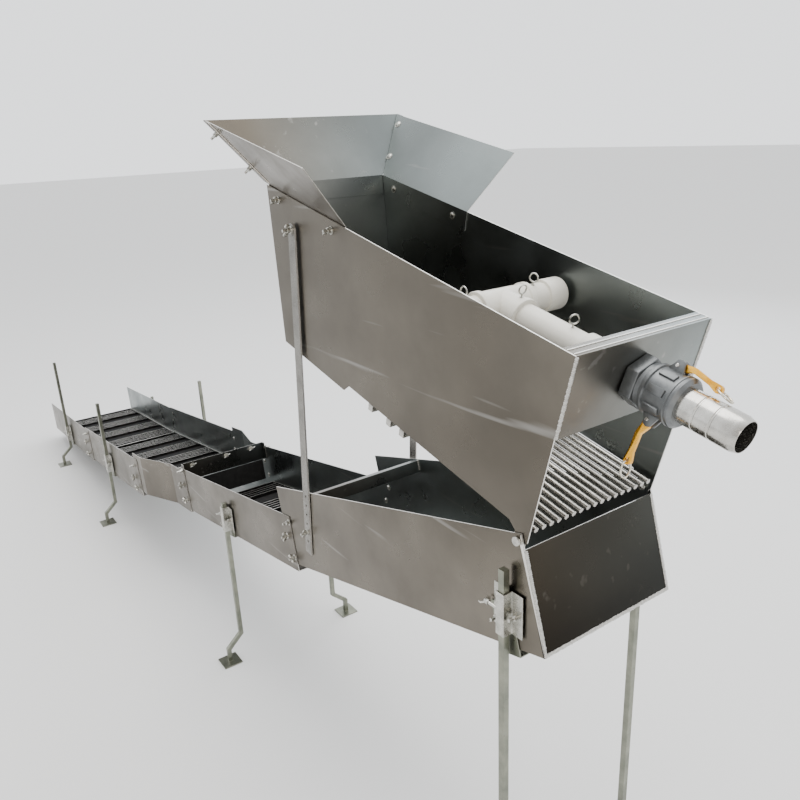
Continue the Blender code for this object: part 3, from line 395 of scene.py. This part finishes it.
# Grizzly and straps: bright drawn bar. Round bars hang side by side on square cross rails, and two
# flat straps with rounded tops and a row of holes set the hopper's tilt.
STRAP_THICKNESS = 0.004
bright_bar = plain_paint("bright_drawn_bar", (0.42, 0.405, 0.375), (0.56, 0.545, 0.51), 0.24, 1.0,
                         30.0, 0.000004)
strap_metal = plain_paint("strap_flat_bar", (0.17, 0.163, 0.148), (0.27, 0.26, 0.24), 0.30, 1.0,
                          24.0, 0.00003)
eased("grizzly_rack", "grizzly_bars", 0.0006, (bright_bar,), smooth=50)
for side in ("near", "far"):
    eased("strap_" + side, "tilt_strap_" + side, 0.0006, (strap_metal, SHEARED), STRAP_THICKNESS)

# Legs, cradles, brackets, wing screws and pivots: zinc plated steel. The bars slide in brackets
# bolted to each tray's side and stand on small welded feet.
zinc = plain_paint("green_zinc_plate", (0.17, 0.178, 0.145), (0.29, 0.295, 0.24), 0.34, 1.0, 26.0, 0.00005)
bright_zinc = plain_paint("bright_zinc_plate", (0.38, 0.378, 0.345), (0.60, 0.59, 0.55), 0.28, 1.0,
                          60.0, 0.00003)
for label in ("header", "mid", "upper", "lower"):
    eased(label + "_cradle", label + "_cradle_bar", 0.0008, (zinc,))
    for side in ("near", "far"):
        eased(f"{label}_leg_{side}", f"{label}_leg_bar_{side}", 0.0007, (zinc,))
        eased(f"{label}_bracket_{side}", f"{label}_clamp_bracket_{side}", 0.0008, (bright_zinc,))
        eased(f"{label}_wing_screw_{side}", f"{label}_clamp_screw_{side}", 0.0006, (bright_zinc,), smooth=40)
for side in ("near", "far"):
    eased("pivot_bolt_" + side, "tilt_pivot_" + side, 0.0008, (bright_zinc,), smooth=40)

# Water line: off-white pressure pipe and glued fittings, a cross pipe teed off a feed pipe that
# comes through the hopper's front plate. Each length is turned as one smooth closed shell.
LINE_HEIGHT = 0.262
TEE_BACK = 0.287
line = hopper @ Matrix.Translation((FRONT_SLOPE * LINE_HEIGHT, 0, LINE_HEIGHT))
tee = line @ Matrix.Translation((-TEE_BACK - FRONT_SLOPE * LINE_HEIGHT, 0, 0))
cross = tee @ Matrix.Rotation(math.pi / 2, 4, "Z")


def turned(shape, place, profile, hollow=False, sides=64, material=0):
    """Adds a closed shell turned about a place's X axis from (along, radius) pairs."""
    rings = []
    for along, radius in profile:
        ring = []
        for step in range(sides):
            turn = math.tau * step / sides
            point = Vector((along, radius * math.cos(turn), radius * math.sin(turn)))
            ring.append(shape.verts.new(place @ point))
        rings.append(ring)
    pairs = list(zip(rings, rings[1:] + rings[:1]))
    faces = []
    for first, second in pairs if hollow else pairs[:-1]:
        for step in range(sides):
            after = (step + 1) % sides
            faces.append(shape.faces.new((first[step], first[after], second[after], second[step])))
    if not hollow:
        faces.append(shape.faces.new(rings[0][::-1]))
        faces.append(shape.faces.new(rings[-1]))
    for face in faces:
        face.material_index = material
    bmesh.ops.recalc_face_normals(shape, faces=faces)


pipe_plastic = plain_paint("off_white_pipe", (0.76, 0.74, 0.67), (0.69, 0.67, 0.60), 0.34, 0.0, 14.0, 0.0002)
pipework = bmesh.new()
PIPE_RADIUS = 0.025
TEE_RADIUS = 0.029
TEE_END = 0.058
TEE_LIP = 0.0315
CAP_RADIUS = 0.030
CAP_STARTS = {"near": 0.104, "far": 0.096}
SPRAY_END = 0.138


def spray_half(cap_start):
    """Profile of the cross pipe from its tee out to one end: tee, lip, bare pipe and end cap."""
    return [(TEE_END - 0.0120, TEE_RADIUS), (TEE_END - 0.0100, TEE_LIP), (TEE_END - 0.0015, TEE_LIP),
            (TEE_END, TEE_LIP - 0.0010), (TEE_END, PIPE_RADIUS), (cap_start, PIPE_RADIUS),
            (cap_start, CAP_RADIUS - 0.0005), (cap_start + 0.0010, CAP_RADIUS),
            (SPRAY_END - 0.0040, CAP_RADIUS), (SPRAY_END - 0.0015, CAP_RADIUS - 0.0010),
            (SPRAY_END, CAP_RADIUS - 0.0035)]


near_half = [(-along, radius) for along, radius in reversed(spray_half(CAP_STARTS["near"]))]
turned(pipework, cross, near_half + spray_half(CAP_STARTS["far"]))
BRANCH_RADIUS = 0.0305
BRANCH_LIP = 0.0325
UNION_RADIUS = 0.033
branch = [(0.0040, TEE_RADIUS), (0.0500, BRANCH_RADIUS), (0.0520, BRANCH_LIP), (0.0610, BRANCH_LIP),
          (0.0620, BRANCH_LIP - 0.0010), (0.0620, PIPE_RADIUS)]
sleeve = [(0.2000, PIPE_RADIUS), (0.2000, CAP_RADIUS - 0.0008), (0.2010, CAP_RADIUS),
          (0.2350, CAP_RADIUS), (0.2360, CAP_RADIUS - 0.0008), (0.2360, PIPE_RADIUS)]
union = [(0.2450, PIPE_RADIUS), (0.2450, UNION_RADIUS - 0.0015), (0.2470, UNION_RADIUS),
         (0.2750, UNION_RADIUS), (0.2775, UNION_RADIUS - 0.0020), (0.2775, PIPE_RADIUS)]
turned(pipework, tee, branch + sleeve + union + [(0.3005, PIPE_RADIUS)])
finished("spray_pipework", pipework, "hopper", "white_pipe", (pipe_plastic,), ("spray_manifold",), 32)

# Hex union and quick coupler: satin grey castings with a bright machined hose shank. The coupler
# has a rim, a turned waist, raised ribs and two pairs of ears that carry the cam levers.
EAR_PLACE = 0.0195
PIN_HEIGHT = 0.043
EAR_ACROSS = 0.0066
EAR_THICKNESS = 0.004
lever = joints["upper_lever_swing"]
line_x = hopper.to_3x3() @ Vector((1, 0, 0))
line_y = -Vector(lever["axis"])
line_z = line_x.cross(line_y)
coupler = Matrix((line_x, line_y, line_z)).transposed().to_4x4()
coupler.translation = Vector(lever["pos_m"]) - EAR_PLACE * line_x - PIN_HEIGHT * line_z


def slab(shape, place, outline, thickness, ease=0.0008, material=0):
    """Adds a flat piece with eased edges, its outline given in a place's XZ plane."""
    rows = [[shape.verts.new(place @ Vector((x, side * thickness / 2, z))) for x, z in outline]
            for side in (-1, 1)]
    faces = [shape.faces.new(rows[0]), shape.faces.new(rows[1][::-1])]
    for index in range(len(outline)):
        after = (index + 1) % len(outline)
        faces.append(shape.faces.new((rows[0][index], rows[1][index], rows[1][after], rows[0][after])))
    for face in faces:
        face.material_index = material
    bmesh.ops.recalc_face_normals(shape, faces=faces)
    edges = list({edge for face in faces for edge in face.edges if edge.calc_face_angle() > 0.6})
    bmesh.ops.bevel(shape, geom=edges, offset=ease, segments=2, profile=0.5, affect="EDGES",
                    clamp_overlap=True)


def block(shape, place, low, high, ease=0.0008, material=0):
    """Adds a box with eased edges between two corners in a place's frame."""
    middle = place @ Matrix.Translation((0, (low[1] + high[1]) / 2, 0))
    outline = [(low[0], low[2]), (high[0], low[2]), (high[0], high[2]), (low[0], high[2])]
    slab(shape, middle, outline, high[1] - low[1], ease, material)


casting = plain_paint("satin_grey_casting", (0.135, 0.142, 0.145), (0.18, 0.187, 0.19), 0.40, 0.9,
                      90.0, 0.0001)
machined = plain_paint("machined_shank", (0.42, 0.405, 0.375), (0.60, 0.585, 0.55), 0.22, 1.0,
                       50.0, 0.00001)
BORE_RADIUS = 0.0230
RIM_RADIUS = 0.0390
WAIST_RADIUS = 0.0364
SHANK_RADIUS = 0.0270
GROOVE_RADIUS = 0.0261
GROOVES = (0.082, 0.108)
RIB_TURN = 45
RIB_CORNERS = ((0.012, -0.006, 0.0345), (0.038, 0.006, 0.0394))
eased("hex_adapter", "hex_union", 0.0014, (casting,), smooth=32)
fitting = bmesh.new()
body = [(0.000, BORE_RADIUS), (0.000, RIM_RADIUS - 0.0018), (0.0015, RIM_RADIUS), (0.006, RIM_RADIUS),
        (0.0075, WAIST_RADIUS), (0.0425, WAIST_RADIUS), (0.044, RIM_RADIUS), (0.046, RIM_RADIUS),
        (0.047, RIM_RADIUS - 0.0014), (0.049, RIM_RADIUS - 0.0014), (0.050, RIM_RADIUS),
        (0.053, RIM_RADIUS - 0.0006), (0.058, RIM_RADIUS - 0.0055), (0.058, BORE_RADIUS)]
turned(fitting, coupler, body, True)
shank = [(0.056, BORE_RADIUS), (0.056, SHANK_RADIUS)]
for groove in GROOVES:
    shank += [(groove, SHANK_RADIUS), (groove + 0.001, GROOVE_RADIUS), (groove + 0.003, GROOVE_RADIUS),
              (groove + 0.004, SHANK_RADIUS)]
shank += [(0.140, SHANK_RADIUS), (0.149, SHANK_RADIUS - 0.0027), (0.150, SHANK_RADIUS - 0.0032),
          (0.150, BORE_RADIUS)]
turned(fitting, coupler, shank, True, material=1)
for turn in range(0, 360, RIB_TURN):
    if turn % 180 != 90:
        rib = coupler @ Matrix.Rotation(math.radians(turn - 90), 4, "X")
        block(fitting, rib, *RIB_CORNERS, 0.001)
EAR_OUTLINE = [(-0.013, -0.010), (0.016, -0.010), (0.0115, 0.002), (0.009, 0.008), (0.003, 0.0105),
               (-0.003, 0.008), (-0.0055, 0.002)]
PIN_PROFILE = [(-0.0105, 0.0022), (-0.0098, 0.0029), (0.0098, 0.0029), (0.0105, 0.0022)]
for turn in (0, math.pi):
    ear = coupler @ Matrix.Rotation(turn, 4, "X") @ Matrix.Translation((EAR_PLACE, 0, PIN_HEIGHT))
    for flank in (-1, 1):
        slab(fitting, ear @ Matrix.Translation((0, flank * EAR_ACROSS, 0)), EAR_OUTLINE, EAR_THICKNESS)
    turned(fitting, ear @ Matrix.Rotation(math.pi / 2, 4, "Z"), PIN_PROFILE, sides=24, material=1)
finished("quick_coupler", fitting, "hopper", "grey_casting", (casting, machined), ("hose_coupler",), 32)

# Cam levers and pull rings: yellow passivated zinc, the levers cast and the rings bent from wire.
yellow = plain_paint("yellow_zinc_plate", (0.78, 0.36, 0.025), (0.90, 0.50, 0.07), 0.26, 1.0, 70.0, 0.00005)
ring_wire = plain_paint("ring_wire", (0.62, 0.56, 0.44), (0.78, 0.74, 0.64), 0.25, 1.0, 70.0, 0.0001)
for end in ("upper", "lower"):
    eased(end + "_lever", end + "_cam_lever", 0.0009, (yellow,), smooth=32)
    eased(end + "_pull_ring", end + "_wire_ring", 0.0001, (ring_wire,), smooth=70)

# Fasteners: plated wing nuts on bolt tails outside and low round bolt heads inside, wherever
# sheets are bolted together. Each kind is one small part repeated on a list of seats.
def moved(tree, geometry, place=(0, 0, 0), turn=(0, 0, 0), scale=(1, 1, 1)):
    """A shape moved, turned and scaled inside a node tree."""
    return put(tree, "GeometryNodeTransform", {"Geometry": geometry, "Translation": place, "Rotation": turn,
                                               "Scale": scale}).outputs[0]


def rod_shape(tree, radius, depth, start, sides=14):
    """A short rod that stands on a height along Z."""
    rod = put(tree, "GeometryNodeMeshCylinder", {"Vertices": sides, "Radius": radius, "Depth": depth})
    return moved(tree, rod.outputs["Mesh"], (0, 0, start + depth / 2))


def ball_shape(tree, radius, start, flat):
    """A flattened ball centred on a height along Z."""
    ball = put(tree, "GeometryNodeMeshUVSphere", {"Segments": 14, "Rings": 7, "Radius": radius})
    return moved(tree, ball.outputs["Mesh"], (0, 0, start), scale=(1, 1, flat))


SIZE_SEED = 7


def repeated(name, material, shapes, least=1.0):
    """A tree that sets a part on every seat, turned to face out and along, and sized by an input."""
    tree = bpy.data.node_groups.new(name, "GeometryNodeTree")
    tree.interface.new_socket("Seats", in_out="INPUT", socket_type="NodeSocketGeometry")
    tree.interface.new_socket("Size", in_out="INPUT", socket_type="NodeSocketFloat")
    tree.interface.new_socket("Parts", in_out="OUTPUT", socket_type="NodeSocketGeometry")
    given = put(tree, "NodeGroupInput")
    part = put(tree, "GeometryNodeJoinGeometry")
    for shape in shapes(tree):
        tree.links.new(shape, part.inputs[0])
    out, along = [put(tree, "GeometryNodeInputNamedAttribute", {"Name": key}, data_type="FLOAT_VECTOR")
                  for key in ("out", "along")]
    up = put(tree, "FunctionNodeAlignRotationToVector", {"Vector": out.outputs["Attribute"]}, axis="Z")
    aimed = put(tree, "FunctionNodeAlignRotationToVector", {"Rotation": up.outputs[0],
                                                            "Vector": along.outputs["Attribute"]},
                axis="X", pivot_axis="Z")
    vary = put(tree, "FunctionNodeRandomValue", {2: least, 3: 1.0, "Seed": SIZE_SEED}, data_type="FLOAT")
    size = put(tree, "ShaderNodeMath", {0: given.outputs["Size"], 1: vary.outputs[1]}, operation="MULTIPLY")
    placed = put(tree, "GeometryNodeInstanceOnPoints", {"Points": given.outputs["Seats"],
                                                        "Instance": part.outputs[0],
                                                        "Rotation": aimed.outputs[0],
                                                        "Scale": size.outputs[0]})
    real = put(tree, "GeometryNodeRealizeInstances", {"Geometry": placed.outputs["Instances"]})
    painted = put(tree, "GeometryNodeSetMaterial", {"Geometry": real.outputs[0], "Material": material})
    put(tree, "NodeGroupOutput", {0: painted.outputs[0]})
    return tree


def grown(name, seats, tree, size, body, smooth=40):
    """One mesh of a repeated part on seats given as (place, out, along), riding on a body."""
    seeds = bpy.data.meshes.new(name + "_seats")
    seeds.from_pydata([spot[0] for spot in seats], [], [])
    for key, index in (("out", 1), ("along", 2)):
        values = seeds.attributes.new(key, "FLOAT_VECTOR", "POINT")
        values.data.foreach_set("vector", [part for spot in seats for part in spot[index]])
    holder = bpy.data.objects.new(name + "_holder", seeds)
    scene.collection.objects.link(holder)
    modifier = holder.modifiers.new("parts", "NODES")
    modifier.node_group = tree
    sockets = {item.name: item.identifier for item in tree.interface.items_tree if item.in_out == "INPUT"}
    modifier[sockets["Size"]] = size
    graph = bpy.context.evaluated_depsgraph_get()
    mesh = bpy.data.meshes.new_from_object(holder.evaluated_get(graph), depsgraph=graph)
    bpy.data.objects.remove(holder)
    mesh.shade_smooth()
    mesh.set_sharp_from_angle(angle=math.radians(smooth))
    piece = bpy.data.objects.new(name, mesh)
    scene.collection.objects.link(piece)
    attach(piece, body)


def wing_nut_shapes(tree):
    """Washer, hub, two lobes and the bolt's tail."""
    lobe = put(tree, "GeometryNodeMeshUVSphere", {"Segments": 12, "Rings": 6, "Radius": 0.0062})
    lobes = [moved(tree, lobe.outputs["Mesh"], (side * 0.0085, 0, 0.0095), (0, side * 0.5, 0),
                   (0.85, 0.24, 1.0)) for side in (-1, 1)]
    washer = rod_shape(tree, radius=0.0080, depth=0.0014, start=0.0, sides=18)
    hub = rod_shape(tree, radius=0.0052, depth=0.0070, start=0.0013)
    tail = rod_shape(tree, radius=0.0030, depth=0.0180, start=0.0)
    return [washer, hub, tail, *lobes]


def bolt_head_shapes(tree):
    """Washer and a low domed head."""
    washer = rod_shape(tree, radius=0.0085, depth=0.0009, start=0.0, sides=18)
    dome = ball_shape(tree, radius=0.0066, start=0.0009, flat=0.34)
    return [washer, dome]


seat_walls = {}


def seat(nodes, start, towards):
    """The first place on some CAD nodes met from a start, and the way out of it."""
    best = None
    for node in nodes:
        if node not in seat_walls:
            mesh = frame["nodes"][node].data
            corners = [vertex.co for vertex in mesh.vertices]
            seat_walls[node] = BVHTree.FromPolygons(corners, [tuple(face.vertices) for face in mesh.polygons])
        place, normal, _, away = seat_walls[node].ray_cast(Vector(start), Vector(towards))
        if place and (best is None or away < best[0]):
            best = (away, place, normal if normal.dot(towards) < 0 else -normal)
    if best is None:
        raise ValueError(f"no seat on {nodes} from {tuple(start)}")
    return best[1], best[2]


nut_tree = repeated("wing_nut", bright_zinc, wing_nut_shapes)
head_tree = repeated("bolt_head", bright_zinc, bolt_head_shapes)
JOINT_BOLTS = {("mid_tray", "header_box"): ((0.9216, 0.665), (0.9046, 0.619), (0.9376, 0.570)),
               ("flare_tray", "mid_tray"): ((0.0866, 0.514), (0.0736, 0.456), (0.1006, 0.409)),
               ("upper_far_tray", "flare_tray"): ((-0.3500, 0.400), (-0.3600, 0.347), (-0.3334, 0.312)),
               ("lower_far_tray", "upper_far_tray"): ((-1.1700, 0.284), (-1.1750, 0.243), (-1.1654, 0.187))}
nuts = []
heads = []
low_heads = []
for nested, places in JOINT_BOLTS.items():
    for index, (x, z) in enumerate(places):
        angle = 1.1 * index + 0.4
        turn = (math.cos(angle), 0, math.sin(angle))
        for side in (-1, 1):
            nuts.append((*seat(nested, (x, side, z), (0, -side, 0)), turn))
            spot = (*seat(nested, (x, 0, z), (0, side, 0)), turn)
            (low_heads if nested[0] == "lower_far_tray" else heads).append(spot)
CLAMPS = {"header": (1.740193, 0.8497), "mid": (0.494474, 0.5021), "upper": (-0.746616, 0.2779),
          "lower": (-1.574724, 0.1658)}
BRACKET_BOLT_ACROSS = 0.0215
BRACKET_BOLT_DROP = 0.022
for label, (x, z) in CLAMPS.items():
    for side, name in ((-1, "near"), (1, "far")):
        for across, drop in ((-BRACKET_BOLT_ACROSS, BRACKET_BOLT_DROP), (BRACKET_BOLT_ACROSS, 0.0)):
            start = (x + across, side, z - drop)
            nuts.append((*seat((f"{label}_bracket_{name}",), start, (0, -side, 0)), (0.6, 0, 0.8)))
DAMPER_NUTS = (-0.116, 0.010, 0.107)
DAMPER_NUT_HEIGHT = 0.52
damper_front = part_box("damper_plate")[1].x + 0.05
for across in DAMPER_NUTS:
    start = (damper_front, across, DAMPER_NUT_HEIGHT)
    nuts.append((*seat(("damper_plate",), start, (-1, 0, 0)), (0, 0.9, 0.4)))
STRAP_FOOT = (1.028, 0.683)
STRAP_OUTSIDE = 0.1593
for side in (-1, 1):
    foot = Vector((STRAP_FOOT[0], side * STRAP_OUTSIDE, STRAP_FOOT[1]))
    nuts.append((foot, Vector((0, side, 0)), (0.4, 0, 0.9)))
grown("tray_wing_nuts", nuts, nut_tree, 1.0, "trays")
grown("tray_bolt_heads", heads, head_tree, 1.0, "trays")
grown("low_bolt_heads", low_heads, head_tree, 0.5, "trays")

# Wing and strap bolts: two wing nuts on each side plate and two along each end of the back wing,
# with round heads inside, and one wing nut at the top of each strap.
WING_BOLTS = ((-0.836, 0.312), (-0.617, 0.312))
nuts = []
heads = []
for along, height in WING_BOLTS:
    for side, name in ((-1, "near"), (1, "far")):
        place = hopper @ Vector((along, 0, height))
        outside = place + Vector((0, side, 0))
        nuts.append((*seat(("hopper_side_" + name,), outside, (0, -side, 0)), (0.8, 0, 0.6)))
        heads.append((*seat(("wing_" + name, "hopper_side_" + name), place, (0, side, 0)), (1, 0, 0)))
BACK_WING_BOLTS = ((-0.9542, 0.2291, 0.4282), (-0.9060, 0.1771, 0.3667))
INWARD_ALONG = 0.03
INWARD_ACROSS = -0.764
INWARD_UP = 0.645
for along, across, height in BACK_WING_BOLTS:
    for side, name in ((-1, "near"), (1, "far")):
        inward = hopper.to_3x3() @ Vector((INWARD_ALONG, side * INWARD_ACROSS, INWARD_UP))
        place = hopper @ Vector((along, side * across, height))
        sheets = ("wing_" + name, "wing_back")
        heads.append((*seat(sheets, place + 0.03 * inward, -inward), (1, 0, 0)))
        nuts.append((*seat(sheets, place - 0.05 * inward, inward), (1, 0, 0.3)))
grown("wing_sheet_nuts", nuts, nut_tree, 1.0, "hopper")
grown("wing_sheet_bolt_heads", heads, head_tree, 1.0, "hopper")
for side, name in ((-1, "near"), (1, "far")):
    hinge = Vector(joints[name + "_strap_swing"]["pos_m"])
    top = (Vector((hinge.x, side * STRAP_OUTSIDE, hinge.z)), Vector((0, side, 0)), (0.5, 0, 0.86))
    grown("strap_wing_nut_" + name, [top], nut_tree, 1.1, name + "_strap")

# Eye screws: four small eyes bent from bright wire and screwed into the top of the spray pipes,
# two on the cross pipe, one at the tee and one along the feed.
def eye_screw_shapes(tree):
    """A ring of wire standing on a short stem."""
    loop = put(tree, "GeometryNodeCurvePrimitiveCircle", {"Resolution": 20, "Radius": 0.0080})
    wire = put(tree, "GeometryNodeCurvePrimitiveCircle", {"Resolution": 8, "Radius": 0.0014})
    ring = put(tree, "GeometryNodeCurveToMesh", {"Curve": loop.outputs["Curve"],
                                                 "Profile Curve": wire.outputs["Curve"]})
    return [moved(tree, ring.outputs["Mesh"], (0, 0, 0.0140), (math.pi / 2, 0, 0)),
            rod_shape(tree, 0.0016, 0.0090, -0.0020, 10), rod_shape(tree, 0.0034, 0.0010, 0.0, 12)]


eye_tree = repeated("eye_screw", bright_zinc, eye_screw_shapes)
up = (hopper.to_3x3() @ Vector((0, 0, 1))).normalized()
EYES = ((cross, 0.070, 0.025, (1, 0.4, 0)), (cross, -0.090, 0.025, (1, 0, 0)),
        (tee, 0.045, 0.0305, (0, 1, 0)), (tee, 0.165, 0.025, (0.5, 1, 0)))
eyes = []
for pipe, along, radius, turn in EYES:
    eyes.append((pipe @ Vector((along, 0, radius)), up, turn))
grown("pipe_eye_screws", eyes, eye_tree, 1.0, "hopper")

# Welds: bright beads laid in overlapping ripples where plates meet edge to edge, up the hopper's
# front corners and round the sides and foot of the header's end plate.
def bead_shapes(tree):
    """One ripple of a bead, wider across than along."""
    ripple = put(tree, "GeometryNodeMeshUVSphere", {"Segments": 10, "Rings": 6, "Radius": 0.001})
    return [moved(tree, ripple.outputs["Mesh"], (0, 0, 0.0002), scale=(2.6, 4.2, 1.7))]


def bead_run(start, end, out, pitch):
    """Seats along a straight weld."""
    run = end - start
    count = round(run.length / pitch)
    return [(start + run * index / count, out, run.normalized()) for index in range(count + 1)]


weld_metal = plain_paint("weld_bead", (0.42, 0.41, 0.385), (0.66, 0.65, 0.62), 0.30, 1.0, 300.0, 0.0001)
bead_tree = repeated("weld_bead", weld_metal, bead_shapes, 0.72)
SIDE_RIPPLES = 60
FOOT_RIPPLES = 95
WELD_INSET = 0.003
SIDE_WELD = 0.200
WELD_AHEAD = 0.2
ahead = (header.to_3x3() @ Vector((1, 0, 0))).normalized()
square = header.to_3x3() @ Vector((0, 0, 1))
across = header_top.y - 0.0035
runs = []
for side in (-1, 1):
    for step in range(SIDE_RIPPLES):
        height = WELD_INSET + SIDE_WELD * step / (SIDE_RIPPLES - 1)
        start = header @ Vector((WELD_AHEAD, side * across, height))
        runs.append((*seat(("header_box",), start, -ahead), square))
for step in range(FOOT_RIPPLES):
    start = header @ Vector((WELD_AHEAD, across * (2 * step / (FOOT_RIPPLES - 1) - 1), WELD_INSET))
    runs.append((*seat(("header_box",), start, -ahead), Vector((0, 1, 0))))
grown("header_welds", runs, bead_tree, 1.0, "trays", 80)
FRONT_OPENING = 0.1946
FRONT_WELD_ACROSS = 0.1468
FRONT_RIPPLE_PITCH = 0.0034
ahead = (hopper.to_3x3() @ Vector((1, 0, 0))).normalized()
runs = []
for side in (-1, 1):
    ends = [hopper @ Vector((FRONT_SLOPE * height + 0.0004, side * FRONT_WELD_ACROSS, height))
            for height in (FRONT_OPENING + 0.004, HOPPER_DEPTH - 0.004)]
    runs += bead_run(*ends, ahead, FRONT_RIPPLE_PITCH)
grown("hopper_welds", runs, bead_tree, 1.15, "hopper", 80)

# Front rim: two low bright ridges that run from side to side along the folded top of the
# hopper's front plate.
RIDGES_BACK = (0.006, 0.019)
RIDGE_REACH = 0.1462
RIDGE_HALF = 0.001
ABOVE_HOPPER = 0.5
ridges = bmesh.new()
for back in RIDGES_BACK:
    along = FRONT_LEAN - back
    top = seat(("hopper_front",), hopper @ Vector((along, 0, ABOVE_HOPPER)), -up)[0]
    height = (hopper.inverted() @ top).z
    block(ridges, hopper, (along - RIDGE_HALF, -RIDGE_REACH, height - 0.0005),
          (along + RIDGE_HALF, RIDGE_REACH, height + 0.0011), 0.0006)
finished("front_rim_ridges", ridges, "hopper", "sheet_aluminium", (SHEARED,))
